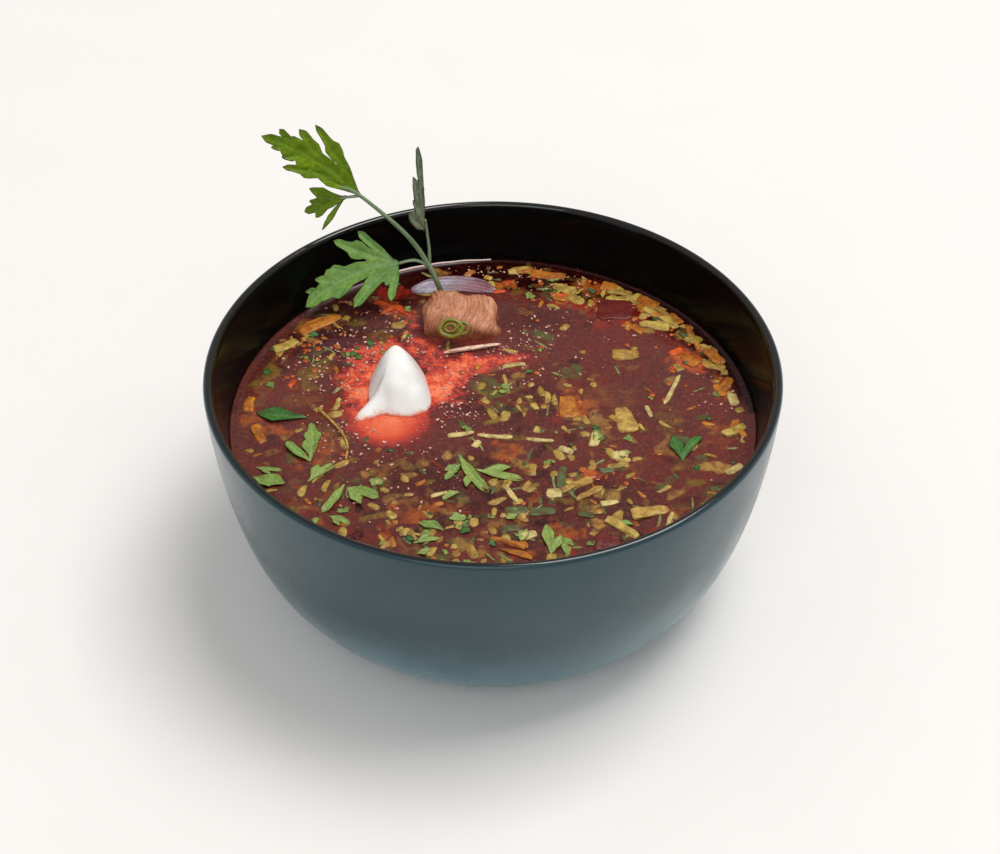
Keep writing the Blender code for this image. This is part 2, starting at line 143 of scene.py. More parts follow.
add_sky(0.46, (1.0, 0.99, 0.98))

# %% [markdown]
# ## Tools for finishes
# A finish is a node material. Four effects come back in nearly all of them, so each is a node
# group made once: a mottle of two tones, long fibres, the stain that broth leaves on whatever
# stands in it, and a wet film whose gloss comes and goes. The groups only put out numbers and
# colours; the shader itself stays in each material.

# %% Node helpers


def feed(tree, socket, value):
    if isinstance(value, bpy.types.NodeSocket):
        tree.links.new(value, socket)
    elif isinstance(value, (tuple, list)) and len(value) == 3 and socket.type == "RGBA":
        socket.default_value = (*value, 1.0)
    else:
        socket.default_value = value


def add_node(tree, kind, inputs=None, **settings):
    """Add a node, set its options, then set or link its inputs."""
    made = tree.nodes.new("ShaderNode" + kind)
    for key, value in settings.items():
        setattr(made, key, value)
    for key, value in (inputs or {}).items():
        feed(tree, made.inputs[key], value)
    return made


def mix(tree, share, first, second, blend="MIX"):
    """Mix two colours; share 0 gives the first and 1 the second."""
    made = add_node(tree, "Mix", data_type="RGBA", blend_type=blend, clamp_factor=True)
    feed(tree, made.inputs[0], share)
    feed(tree, made.inputs[6], first)
    feed(tree, made.inputs[7], second)
    return made.outputs[2]


def maths(tree, operation, first, second=0.0):
    made = add_node(tree, "Math", operation=operation)
    feed(tree, made.inputs[0], first)
    feed(tree, made.inputs[1], second)
    return made.outputs[0]


def span(tree, value, low, high, to_low=0.0, to_high=1.0):
    """Stretch value's range low..high to to_low..to_high, with soft ends."""
    made = add_node(tree, "MapRange", interpolation_type="SMOOTHSTEP")
    for index, item in enumerate((value, low, high, to_low, to_high)):
        feed(tree, made.inputs[index], item)
    return made.outputs[0]


def ramp(tree, value, stops):
    made = add_node(tree, "ValToRGB")
    elements = made.color_ramp.elements
    while len(elements) < len(stops):
        elements.new(0.5)
    for element, (place, colour) in zip(elements, stops):
        element.position = place
        element.color = (*colour, 1.0)
    feed(tree, made.inputs[0], value)
    return made.outputs["Color"]


def attribute(tree, name, output="Fac"):
    return add_node(tree, "Attribute", attribute_name=name).outputs[output]


def bump(tree, height, strength, distance_mm, normal=None):
    inputs = {"Height": height, "Strength": strength, "Distance": distance_mm * MM}
    if normal is not None:
        inputs["Normal"] = normal
    return add_node(tree, "Bump", inputs).outputs["Normal"]


def place_mm(tree):
    """The place on the object, in millimetres."""
    place = add_node(tree, "TexCoord").outputs["Object"]
    scaled = add_node(tree, "VectorMath", operation="SCALE")
    feed(tree, scaled.inputs[0], place)
    scaled.inputs["Scale"].default_value = 1.0 / MM
    return scaled.outputs[0]


def new_material(name):
    material = bpy.data.materials.new(name)
    material.use_nodes = True
    return material, material.node_tree, material.node_tree.nodes["Principled BSDF"]

# %% Node groups
VALUE, COLOUR, VECTOR = "NodeSocketFloat", "NodeSocketColor", "NodeSocketVector"


def new_group(name, inputs, outputs):
    """A node group; returns it with its input sockets and its output sockets."""
    group = bpy.data.node_groups.new(name, "ShaderNodeTree")
    for label, kind, default in inputs:
        socket = group.interface.new_socket(name=label, in_out="INPUT", socket_type=kind)
        socket.default_value = default
    for label, kind in outputs:
        group.interface.new_socket(name=label, in_out="OUTPUT", socket_type=kind)
    entry = group.nodes.new("NodeGroupInput").outputs
    leave = group.nodes.new("NodeGroupOutput").inputs
    return group, entry, leave


def use_group(tree, group, inputs):
    made = tree.nodes.new("ShaderNodeGroup")
    made.node_tree = group
    for key, value in inputs.items():
        feed(tree, made.inputs[key], value)
    return made.outputs


def make_mottle():
    group, entry, leave = new_group(
        "mottle",
        [
            ("Place", VECTOR, (0, 0, 0)), ("Per mm", VALUE, 1.0), ("Detail", VALUE, 4.0),
            ("Low", VALUE, 0.35), ("High", VALUE, 0.65),
        ],
        [("Mask", VALUE), ("Height", VALUE)],
    )  # fmt: skip
    cloud = add_node(
        group, "TexNoise",
        {"Vector": entry["Place"], "Scale": entry["Per mm"], "Detail": entry["Detail"], "Roughness": 0.6},
    )  # fmt: skip
    height = cloud.outputs["Fac"]
    feed(group, leave["Mask"], span(group, height, entry["Low"], entry["High"]))
    feed(group, leave["Height"], height)
    return group


def make_fibres():
    group, entry, leave = new_group(
        "fibres",
        [("Place", VECTOR, (0, 0, 0)), ("Stretch", VECTOR, (1, 1, 1)), ("Waver", VALUE, 0.6)],
        [("Mask", VALUE), ("Height", VALUE)],
    )
    wander = add_node(
        group, "TexNoise", {"Vector": entry["Place"], "Scale": 0.25, "Detail": 2.0}
    ).outputs["Color"]
    shifted = add_node(group, "VectorMath", operation="MULTIPLY_ADD")
    feed(group, shifted.inputs[0], wander)
    feed(group, shifted.inputs[1], entry["Waver"])
    feed(group, shifted.inputs[2], entry["Place"])
    drawn = add_node(group, "VectorMath", operation="MULTIPLY")
    feed(group, drawn.inputs[0], shifted.outputs[0])
    feed(group, drawn.inputs[1], entry["Stretch"])
    strands = add_node(
        group, "TexNoise", {"Vector": drawn.outputs[0], "Scale": 1.0, "Detail": 5.0, "Roughness": 0.62}
    ).outputs["Fac"]
    feed(group, leave["Mask"], span(group, strands, 0.38, 0.62))
    feed(group, leave["Height"], strands)
    return group


def make_stain():
    group, entry, leave = new_group(
        "broth stain",
        [
            ("Colour", COLOUR, (1, 1, 1, 1)), ("Stain", COLOUR, (0.16, 0.03, 0.015, 1)),
            ("Clear above", VALUE, 2.0), ("Strength", VALUE, 0.8),
        ],
        [("Colour", COLOUR)],
    )  # fmt: skip
    height = add_node(group, "SeparateXYZ", {0: place_mm(group)}).outputs["Z"]
    ragged = add_node(group, "TexNoise", {"Vector": place_mm(group), "Scale": 0.7, "Detail": 3.0})
    above = maths(group, "SUBTRACT", height, LEVEL)
    above = maths(group, "ADD", above, span(group, ragged.outputs["Fac"], 0.3, 0.7, -0.5, 0.5))
    low = maths(group, "SUBTRACT", 1.0, span(group, above, -0.6, entry["Clear above"]))
    share = maths(group, "MULTIPLY", low, entry["Strength"])
    feed(group, leave["Colour"], mix(group, share, entry["Colour"], entry["Stain"]))
    return group


def make_wet_film():
    group, entry, leave = new_group(
        "wet film",
        [("Place", VECTOR, (0, 0, 0)), ("Per mm", VALUE, 0.8), ("Wet", VALUE, 0.1), ("Dry", VALUE, 0.35)],
        [("Roughness", VALUE)],
    )
    film = add_node(
        group, "TexNoise", {"Vector": entry["Place"], "Scale": entry["Per mm"], "Detail": 3.0}
    ).outputs["Fac"]
    feed(group, leave["Roughness"], span(group, film, 0.35, 0.65, entry["Wet"], entry["Dry"]))
    return group


mottle, fibres, stain, wet_film = make_mottle(), make_fibres(), make_stain(), make_wet_film()
print("node groups:", [g.name for g in bpy.data.node_groups])

# %% Short ways to use the groups
BROTH_STAIN = (0.16, 0.03, 0.015)


def mottled(tree, place, per_mm, detail=4.0, low=0.35, high=0.65):
    inputs = {"Place": place, "Per mm": per_mm, "Detail": detail, "Low": low, "High": high}
    return use_group(tree, mottle, inputs)


def fibrous(tree, place, stretch, waver):
    return use_group(tree, fibres, {"Place": place, "Stretch": stretch, "Waver": waver})


def soaked(tree, colour, clear_above, strength, stain_colour=BROTH_STAIN):
    """Colour, stained from below up to clear_above millimetres over the broth."""
    inputs = {"Colour": colour, "Stain": stain_colour, "Clear above": clear_above, "Strength": strength}
    return use_group(tree, stain, inputs)["Colour"]


def wet_gloss(tree, shader, place, per_mm, wet, dry):
    """Let the roughness wander between wet and dry."""
    film = use_group(tree, wet_film, {"Place": place, "Per mm": per_mm, "Wet": wet, "Dry": dry})
    feed(tree, shader.inputs["Roughness"], film["Roughness"])


def dress(tree, shader, colour, gloss, relief):
    """Give a shader its colour, its (place, per mm, wet, dry) gloss and its relief."""
    feed(tree, shader.inputs["Base Color"], colour)
    wet_gloss(tree, shader, *gloss)
    feed(tree, shader.inputs["Normal"], relief)


def veil(tree, mask, strength, colour, over):
    """Lay one colour over another where the mask is, no denser than strength."""
    return mix(tree, maths(tree, "MULTIPLY", mask, strength), colour, over)

# %% [markdown]
# ## Tools for shapes
# Every piece is a mesh of its own that rides on the CAD part's one body. Beside its shape a
# mesh carries notes for its finish: grain is the place inside the piece before it was turned,
# so that fibres follow each piece, and tone is a number from 0 to 1 that differs from piece
# to piece. Pieces of one kind that are too small to list are gathered in one mesh.

# %% Mesh helpers


# numbers per point: kind of attribute, its field
NOTE_KINDS = {1: ("FLOAT", "value"), 3: ("FLOAT_VECTOR", "vector"), 4: ("FLOAT_COLOR", "color")}


def note(mesh, name, values):
    """Write one value per vertex: a number, a vector or a colour."""
    values = np.asarray(values, np.float32)
    kind, field = NOTE_KINDS[values.size // len(mesh.vertices)]
    mesh.attributes.new(name, kind, "POINT").data.foreach_set(field, values.ravel())


def make_object(name, verts, faces, material):
    """Make an object from points in millimetres."""
    mesh = bpy.data.meshes.new(name)
    mesh.from_pydata([tuple(float(c) * MM for c in v) for v in verts], [], [tuple(f) for f in faces])
    mesh.validate(clean_customdata=False)
    mesh.materials.append(material)
    item = bpy.data.objects.new(name, mesh)
    bpy.context.scene.collection.objects.link(item)
    return item


def finish_piece(name, verts, faces, material, stands_for=(), notes=None):
    """Make a piece with its notes and tie it to the CAD part."""
    item = make_object(name, verts, faces, material)
    item.data.shade_smooth()
    for label, values in (notes or {}).items():
        note(item.data, label, values)
    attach(item, "root")
    if stands_for:
        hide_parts(*stands_for)
    return item


def round_points(count):
    """Directions spread evenly round a circle."""
    angles = [2 * math.pi * i / count for i in range(count)]
    return [(math.cos(angle), math.sin(angle)) for angle in angles]


def turned(outline, segments):
    """Sweep (radius, height) points round the axis; the ends on the axis are single points."""
    verts, faces, rows = [], [], []
    for point in outline:
        if point.x < 1e-6:
            rows.append([len(verts)] * segments)
            verts.append((0.0, 0.0, point.y))
            continue
        rows.append(list(range(len(verts), len(verts) + segments)))
        verts.extend((point.x * c, point.x * s, point.y) for c, s in round_points(segments))
    for low, high in zip(rows, rows[1:]):
        for i in range(segments):
            k = (i + 1) % segments
            faces.append(list(dict.fromkeys((low[i], low[k], high[k], high[i]))))
    return verts, faces, rows


def band_faces(rings, sides):
    """Faces between rings of points that follow one another."""
    faces = []
    for low in range(0, (rings - 1) * sides, sides):
        for i in range(sides):
            k = (i + 1) % sides
            faces.append((low + i, low + k, low + sides + k, low + sides + i))
    return faces


def grid_cube(cuts):
    """Points from -1 to 1 on a cube's skin, and its faces."""
    shape = bmesh.new()
    bmesh.ops.create_cube(shape, size=2.0)
    if cuts:
        bmesh.ops.subdivide_edges(shape, edges=shape.edges, cuts=cuts, use_grid_fill=True)
    shape.verts.ensure_lookup_table()
    points = np.array([v.co for v in shape.verts])
    faces = [[v.index for v in f.verts] for f in shape.faces]
    shape.free()
    return points, faces


CUBES = {cuts: grid_cube(cuts) for cuts in (2, 5, 9, 40)}


def rounded_cube(cuts, squareness):
    """A cube's skin drawn in to a superellipsoid that reaches 1 each way, and its faces."""
    cube, faces = CUBES[cuts]
    reach = (np.abs(cube) ** squareness).sum(axis=1) ** (1.0 / squareness)
    return cube / reach[:, None], faces


def lump(size, seed, cuts=5, squareness=5.0, taper=0.0, bend=0.0, uneven=0.12):
    """A block with rounded edges and uneven sides, about the origin, long in X."""
    unit, faces = rounded_cube(cuts, squareness)
    points = unit.copy()
    points[:, 1] *= 1.0 - taper * (unit[:, 0] + 1.0) / 2.0
    points = points * np.array(size) / 2.0
    points[:, 1] += bend * unit[:, 0] ** 2 * size[0] / 2.0
    shift = Vector((seed * 3.1, seed * 1.7, 0.0))
    pushes = np.array([noise.noise_vector(Vector(u) * 1.7 + shift) for u in unit])
    return points + pushes * uneven * min(size) * np.array((1.6, 1.4, 0.7)), faces


class Batch:
    """Pieces of one kind, gathered to become one mesh."""

    def __init__(self):
        self.verts, self.faces, self.notes = [], [], {"grain": [], "tone": []}

    def add(self, points, faces, matrix, tone, **more):
        """Add one piece; tone and whatever more there is are one number or one per point."""
        start = len(self.verts)
        shift = Vector((random.uniform(-90, 90), random.uniform(-90, 90), 0.0))
        self.verts.extend(matrix @ Vector(point) for point in points)
        self.faces.extend([i + start for i in face] for face in faces)
        self.notes["grain"].extend(Vector(point) + shift for point in points)
        for label, values in {"tone": tone, **more}.items():
            self.notes.setdefault(label, []).extend(np.broadcast_to(values, len(points)))

    def finish(self, name, material, slot, stands_for=(), thick=0.0):
        item = finish_piece(name, self.verts, self.faces, material, stands_for, self.notes)
        if thick:
            sheet = item.modifiers.new("Thickness", "SOLIDIFY")
            sheet.thickness, sheet.offset = thick * MM, 0.0
        print(name, "faces", len(self.faces))


def standing(spot, height, turn=0.0, lean=0.0, pitch=0.0):
    """Put a piece at spot and height, turned about Z, leaning about X and pitched about Y."""
    return (
        Matrix.Translation((spot[0], spot[1], height))
        @ Matrix.Rotation(math.radians(turn), 4, "Z")
        @ Matrix.Rotation(math.radians(pitch), 4, "Y")
        @ Matrix.Rotation(math.radians(lean), 4, "X")
    )

# %% [markdown]
# ## The floor
# A studio sheet of pale card. It is one wide disc, far larger than the view, with a
# faint tooth so that it isn't a perfect flat tone.

# %% Floor


def make_floor():
    material, tree, shader = new_material("pale card")
    tooth = mottled(tree, place_mm(tree), 0.02, 6.0)
    colour = mix(tree, tooth["Mask"], (0.905, 0.878, 0.858), (0.915, 0.888, 0.868))
    feed(tree, shader.inputs["Base Color"], colour)
    shader.inputs["Roughness"].default_value = 0.9
    shader.inputs["Specular IOR Level"].default_value = 0.1
    feed(tree, shader.inputs["Normal"], bump(tree, tooth["Height"], 0.05, 0.1))
    outline = [Vector((radius, 0.0)) for radius in (9000.0, 3000.0, 900.0, 300.0, 0.0)]
    verts, faces, _ = turned(outline, 96)
    item = make_object("floor", verts, faces, material)
    item.location.z = cad_low.z - 0.0001


make_floor()

# %% [markdown]
# ## The bowl
# Thrown stoneware with two glazes: slate outside, poured black inside and over the lip. The
# wall is a superellipse turned once round the axis, the same curve as in the CAD part with
# many more points. The mesh has one material for each glaze, and each face takes the one for its side.

# %% Bowl shape
RIM_THICKNESS, WALL_THICKNESS, THICKENING_DEPTH = 2.4, 4.3, 22.0
BELLY_RADIUS, BELLY_FULLNESS, BELLY_RISE = 38.0, 4.4, 1.5
FOOT_HEIGHT, FOOT_RADIUS, FOOT_WIDTH, FOOT_RECESS = 4.0, 37.0, 5.0, 2.0
BOWL_SEGMENTS = 240
WALL_POINTS = 64


def belly_point(turn):
    """A point of the outer wall: turn 0 is on the foot, a quarter turn is at the rim."""
    out = math.sin(turn) ** (2.0 / BELLY_FULLNESS)
    left_to_rise = max(math.cos(turn), 0.0) ** (2.0 / BELLY_RISE)
    radius = BELLY_RADIUS + (RIM_RADIUS - BELLY_RADIUS) * out
    return Vector((radius, FOOT_HEIGHT + (BOWL_HEIGHT - FOOT_HEIGHT) * (1.0 - left_to_rise)))


def inner_point(turn, extra=0.0):
    """The inner wall's point across from the outer wall's, moved inwards by extra."""
    step = 0.002
    along = (belly_point(min(turn + step, math.pi / 2)) - belly_point(max(turn - step, 0.0))).normalized()
    outer = belly_point(turn)
    down = min((BOWL_HEIGHT - outer.y) / THICKENING_DEPTH, 1.0)
    thick = RIM_THICKNESS + (WALL_THICKNESS - RIM_THICKNESS) * math.sin(down * math.pi / 2)
    return outer + Vector((-along.y, along.x)) * (thick + extra)


def wall_turns(count=WALL_POINTS):
    first, last = math.radians(1.5), math.radians(86.0)
    return [first + (last - first) * i / (count - 1) for i in range(count)]


def bowl_outline():
    """The bowl's section from the middle of its floor over the lip to the foot's middle."""
    inside = [inner_point(turn) for turn in wall_turns()]
    outside = [belly_point(turn) for turn in reversed(wall_turns())]
    half = RIM_THICKNESS / 2
    centre = Vector((RIM_RADIUS - half, BOWL_HEIGHT - half))
    steps, slate_steps = 18, 5
    lip = [
        centre + half * Vector((-math.cos(math.pi * i / steps), math.sin(math.pi * i / steps)))
        for i in range(steps + 1)
    ]
    inner = FOOT_RADIUS - FOOT_WIDTH
    foot = [
        (FOOT_RADIUS + 0.4, FOOT_HEIGHT), (FOOT_RADIUS, 2.4), (FOOT_RADIUS, 0.8),
        (FOOT_RADIUS - 0.25, 0.25), (FOOT_RADIUS - 0.8, 0.0), (inner + 0.8, 0.0),
        (inner + 0.25, 0.25), (inner, 0.8), (inner - 1.0, FOOT_RECESS), (0.0, FOOT_RECESS),
    ]  # fmt: skip
    floor = [Vector((0.0, inside[0].y)), Vector((inside[0].x * 0.5, inside[0].y))]
    outline = floor + inside + lip + outside + [Vector(p) for p in foot]
    black_count = len(floor) + len(inside) + steps - slate_steps
    return outline, black_count

# %% Bowl glaze


def make_slate_glaze():
    material, tree, shader = new_material("slate glaze")
    place = place_mm(tree)
    cloud = mottled(tree, place, 0.03, 5.0)
    speck = mottled(tree, place, 2.2, low=0.66, high=0.74)
    slate = mix(tree, cloud["Mask"], (0.006, 0.022, 0.031), (0.010, 0.031, 0.041))
    # Towards the foot the slate turns much lighter: painted reflection of a bright surface under the bowl.
    height = add_node(tree, "SeparateXYZ", {0: place}).outputs["Z"]
    wander = span(tree, cloud["Height"], 0.3, 0.7, -4.0, 4.0)
    low = span(tree, maths(tree, "ADD", height, wander), 44.0, 2.0)
    slate = mix(tree, low, slate, (0.100, 0.205, 0.240))
    slate = veil(tree, speck["Mask"], 0.4, slate, (0.060, 0.085, 0.092))
    shader.inputs["Specular Tint"].default_value = (0.62, 0.92, 1.0, 1.0)
    shader.inputs["Coat Weight"].default_value = 0.25
    shader.inputs["Coat Roughness"].default_value = 0.08
    shader.inputs["Coat Tint"].default_value = (0.90, 0.98, 1.0, 1.0)
    shader.inputs["IOR"].default_value = 1.55
    orange_peel = mottled(tree, place, 0.5, 2.0)
    dress(tree, shader, slate, (place, 0.05, 0.24, 0.34), bump(tree, orange_peel["Height"], 0.10, 0.12))
    return material


def make_black_glaze():
    material, tree, shader = new_material("black glaze")
    place = place_mm(tree)
    pour = mottled(tree, place, 0.06)
    colour = mix(tree, pour["Mask"], (0.0012, 0.0015, 0.0015), (0.0024, 0.0026, 0.0026))
    shader.inputs["IOR"].default_value = 1.22
    shader.inputs["Specular IOR Level"].default_value = 0.35
    dress(tree, shader, colour, (place, 0.08, 0.14, 0.24), bump(tree, pour["Height"], 0.06, 0.10))
    height = add_node(tree, "SeparateXYZ", {0: place}).outputs["Z"]
    lip = span(tree, height, BOWL_HEIGHT - 1.6, BOWL_HEIGHT - 0.6)
    feed(tree, shader.inputs["Coat Weight"], lip)
    shader.inputs["Coat Roughness"].default_value = 0.07
    return material


def make_bowl():
    """One mesh with both glazes: the faces up to the lip's outer side are black."""
    outline, black_count = bowl_outline()
    verts, faces, rows = turned(outline, BOWL_SEGMENTS)
    item = finish_piece("glazed_bowl", verts, faces, make_slate_glaze(), ["bowl"])
    item.data.materials.append(make_black_glaze())
    last_black = max(rows[black_count - 1])
    for face in item.data.polygons:
        if max(face.vertices) <= last_black:
            face.material_index = 1


make_bowl()

# %% [markdown]
# ## The broth
# Beetroot broth is murky: cream and fat cloud it, and what floats just under the surface shows
# as a soft patch of colour. Real depth would need glass-like light paths, which are slow. So the
# surface is one fine mesh, and each sunken bit is written on it as a soft-edged colour, with a
# faint swelling of the surface above it. Near-black patches of painted shade between the bits, the
# cream's cloud and darker zones are written in the same way: along the back wall the darker zone
# is a painted reflection of the black wall, elsewhere it makes a few darker pools.

# %% Sunken bits as notes on the surface
SURFACE_CELLS = 264
# The near-black tint is painted shade: dark pockets between the bits, no sunken thing.
OLIVE, TAN, ORANGE, BROWN, GREEN, PURPLE, RED, PAINTED_DARK, GLOW = (
    (0.200, 0.135, 0.016), (0.400, 0.230, 0.050), (0.380, 0.085, 0.014), (0.220, 0.080, 0.022),
    (0.060, 0.110, 0.024), (0.085, 0.010, 0.024), (0.280, 0.022, 0.010), (0.012, 0.002, 0.002),
    (0.680, 0.120, 0.030),
)  # fmt: skip
# tint: middle, half sizes, turn, depth (1 is right under the surface)
SEEN_SUNKEN = (
    (GREEN, (-1.4, 13.1), (5.5, 2.8), -42, 0.85), (GREEN, (1.5, 9.5), (2.8, 1.8), 0, 0.7),
    (GREEN, (23, 19.1), (3.0, 2.7), 0, 0.8), (GREEN, (14.9, 36), (4.2, 1.8), -30, 0.8),
    (PAINTED_DARK, (-0.5, -34.2), (2.2, 1.6), -10, 0.95), (PAINTED_DARK, (32.4, -50.8), (3.0, 1.5), 10, 0.9),
    (PAINTED_DARK, (12.9, -24.6), (2.2, 1.8), 0, 0.8), (PAINTED_DARK, (-46, 37), (6.0, 3.0), 30, 0.7),
    (ORANGE, (5, -15.1), (4.0, 3.0), 0, 0.7), (ORANGE, (23, 5), (4.5, 5.5), 30, 0.75),
    (GLOW, (58, 24), (5.5, 4.0), -30, 0.8), (GLOW, (-31, 50), (4.5, 2.4), -38, 0.95),
    (GLOW, (-25, 46), (3.0, 1.6), -20, 0.8), (RED, (-30, 57.5), (5.0, 3.2), 0, 0.9),
    (RED, (38, 48), (7.5, 5.5), 0, 0.75), (ORANGE, (-48, -14), (4, 5), 0, 0.6),
    (ORANGE, (20, -48), (4, 2.6), 0, 0.8), (ORANGE, (-20, -40), (6, 3), 10, 0.7),
    (BROWN, (34, 8), (6, 5), 0, 0.35), (OLIVE, (50, -2), (3.4, 5), 20, 0.40),
    (TAN, (30, -4), (2.2, 5), 10, 0.55), (ORANGE, (64, -8), (2.6, 4.6), 0, 0.55),
    (ORANGE, (-69, -1), (1.8, 4.2), 0, 0.9), (ORANGE, (-62.6, -6.6), (5.0, 2.4), -8, 0.75),
    (OLIVE, (-65.6, 17.2), (2.6, 4.6), -30, 0.7), (OLIVE, (-53.9, 15.4), (2.2, 5.0), 15, 0.65),
    (OLIVE, (-49.9, 21.4), (2.6, 3.6), -50, 0.6), (BROWN, (-66.3, 8.7), (2.0, 5.0), -10, 0.6),
    (BROWN, (-55.2, 6.4), (4.6, 2.6), 10, 0.6), (PURPLE, (-43.8, 31.7), (5.5, 3.8), 20, 0.8),
    (PAINTED_DARK, (-36.5, 28.4), (3.6, 5.0), 0, 0.6), (OLIVE, (-32, 33), (2.4, 4.4), -20, 0.7),
    (PAINTED_DARK, (60, 38), (4.5, 2.4), -52, 0.9), (PAINTED_DARK, (44, 55), (5.0, 2.2), -38, 0.9),
    (PAINTED_DARK, (16, 63), (6.0, 2.2), -10, 0.85), (GLOW, (4, 62), (3.4, 1.8), 0, 0.6),
    (RED, (24, 52), (5.5, 3.0), -20, 0.8), (ORANGE, (30, 60), (5.0, 2.4), -24, 0.8),
    (PAINTED_DARK, (67, 22), (2.6, 5.0), -18, 0.85), (ORANGE, (66, 12), (2.4, 5.0), 0, 0.6),
    (PAINTED_DARK, (-10, -44), (6.0, 3.0), 0, 0.7), (PAINTED_DARK, (8, -52), (5.5, 2.2), 8, 0.7),
    (PAINTED_DARK, (26, -30), (6.0, 2.4), 20, 0.6), (PAINTED_DARK, (-4, -20), (4.5, 2.6), -20, 0.6),
)  # fmt: skip


def disc_grid(cells, radius):
    """A square grid drawn round to a disc, with even cells and a clean edge."""
    line = np.linspace(-1.0, 1.0, cells + 1)
    a, b = (m.ravel() for m in np.meshgrid(line, line, indexing="ij"))
    wide = np.abs(a) > np.abs(b)
    reach = np.where(wide, a, b)
    ratio = np.divide(np.where(wide, b, a), reach, out=np.zeros_like(a), where=np.abs(reach) > 1e-9)
    angle = np.where(wide, ratio * math.pi / 4, math.pi / 2 - ratio * math.pi / 4)
    x, y = reach * np.cos(angle) * radius, reach * np.sin(angle) * radius
    n = cells + 1
    faces = [
        (i * n + j, (i + 1) * n + j, (i + 1) * n + j + 1, i * n + j + 1)
        for i in range(cells)
        for j in range(cells)
    ]
    rim = [i * n for i in range(n)]
    rim += [cells * n + j for j in range(1, n)]
    rim += [i * n + cells for i in range(cells - 1, -1, -1)]
    rim += [j for j in range(cells - 1, 0, -1)]
    return x, y, faces, rim


def blob(x, y, centre, radii, turn=0.0):
    """1 in the middle of an ellipse, falling softly to 0 outside it."""
    angle = math.radians(turn)
    dx, dy = x - centre[0], y - centre[1]
    u = (dx * math.cos(angle) + dy * math.sin(angle)) / radii[0]
    v = (-dx * math.sin(angle) + dy * math.cos(angle)) / radii[1]
    return np.exp(-(u * u + v * v))


def soft_patch(x, y, centre, half, turn, taper=0.0, waver=0.0):
    """1 inside a rounded block, 0 outside, with an uneven edge about as wide as it is deep."""
    angle = math.radians(turn)
    dx, dy = x - centre[0], y - centre[1]
    u = (dx * math.cos(angle) + dy * math.sin(angle)) / half[0]
    v = (-dx * math.sin(angle) + dy * math.cos(angle)) / (half[1] * (1.0 - taper * u.clip(-1, 1) * 0.5))
    reach = (np.abs(u) ** 3 + np.abs(v) ** 3) ** (1 / 3) + waver
    share = ((1.35 - reach) / 0.6).clip(0.0, 1.0)
    return share * share * (3 - 2 * share)


# kind of zone: centre, radii, turn, how crowded with bits it is
CROWDED = (
    ((0, -52), (50, 17), 0, 0.9), ((-50, -32), (26, 24), 0, 0.5), ((-50, 38), (24, 18), 0, 0.7),
    ((24, -28), (26, 18), 0, 0.8), ((6, 8), (14, 16), 0, 0.5), ((26, 58), (34, 9), -16, 0.6),
    ((66, 26), (7, 20), 20, 0.5), ((60, -30), (14, 20), 0, 0.5), ((20, -8), (16, 10), 0, 0.4),
)  # fmt: skip


def crowding(spot):
    x, y = np.array([spot[0]]), np.array([spot[1]])
    most = max(float(weight * blob(x, y, c, r, t)[0]) for c, r, t, weight in CROWDED)
    return 0.07 + most


def in_cream(spot, margin=0.0):
    dx, dy = spot[0] + 27.0, spot[1] - 8.0
    return (dx / (14 + margin)) ** 2 + (dy / (17 + margin)) ** 2 < 1.0


def in_beef(spot, margin=0.0):
    return abs(spot[0] + 9.4) < 14 + margin and abs(spot[1] - 41.5) < 10 + margin


def scattered_spots(count, reach=FLOAT_REACH, even=0.0):
    """Seeded places on the broth, denser where it is crowded, clear of cream and beef."""
    spots = []
    while len(spots) < count:
        radius, angle = reach * math.sqrt(random.random()), random.uniform(0, 2 * math.pi)
        spot = (radius * math.cos(angle), radius * math.sin(angle))
        if in_cream(spot, 2.5) or in_beef(spot):
            continue
        if random.random() < crowding(spot) + even:
            spots.append(spot)
    return spots


def sunken_bits(x, y):
    """Colour and cover of everything that shows from under the surface, and of near-black patches of
    painted shade between the bits.
    """
    colour, cover, swell = np.zeros((len(x), 3)), np.zeros(len(x)), np.zeros(len(x))
    kinds = [OLIVE, TAN, ORANGE, BROWN, GREEN, PURPLE, RED, PAINTED_DARK]
    weights = [6, 6, 2, 5, 4, 3, 2, 7]
    bits = []
    for spot in scattered_spots(560):
        half = (random.uniform(0.7, 3.2), random.uniform(0.5, 1.7))
        depth = random.uniform(0.25, 0.95)
        bits.append((random.choices(kinds, weights)[0], spot, half, random.uniform(0, 180), depth))
    places = (Vector((a * 0.30, b * 0.30, 7.0)) for a, b in zip(x, y))
    waver = 0.75 * np.array([noise.fractal(place, 0.8, 2.1, 3) for place in places])
    for tint, spot, half, turn, depth in bits + list(SEEN_SUNKEN):
        patch = soft_patch(x, y, spot, half, turn, random.uniform(0, 0.9), waver) * depth
        shade = np.array(tint) * random.uniform(0.8, 1.2)
        colour = colour * (1 - patch[:, None]) + shade * patch[:, None]
        cover = cover * (1 - patch) + patch
        # The painted shade patches are no bits, so the surface doesn't swell over them.
        if tint is not PAINTED_DARK:
            swell = np.maximum(swell, patch * 0.10)
    safe = np.maximum(cover, 1e-4)[:, None]
    return np.where(cover[:, None] > 1e-3, colour / safe, 0.0), cover, swell


def cream_cloud(x, y):
    """How much cream is stirred into the broth round the dollop."""
    blobs = (
        ((-27, 7), (11, 12), 0, 1.0), ((-30, -6), (10, 7.5), 0, 1.0), ((-38, 12), (6.5, 11), 0, 0.75),
        ((-34, 28), (8, 7), 0, 0.55), ((-22, 30), (10, 5), 0, 0.60), ((-14, 13), (6, 8), 0, 0.95),
        ((-9, 21), (9, 6), 0, 0.80), ((2, 25.5), (11, 3.4), 8, 0.70), ((-42, 22), (6, 8), 0, 0.30),
        ((-22, 40), (6, 7), 0, 0.40), ((-27, 47), (5, 3), -30, 0.45),
    )  # fmt: skip
    total = sum(weight * blob(x, y, c, r, t) for c, r, t, weight in blobs)
    return 1.0 - np.exp(-1.25 * total**1.25)


# The back wall's painted reflection lies outside a circle moved this far towards the front.
WALL_REFLECTION_SHIFT = 15.0


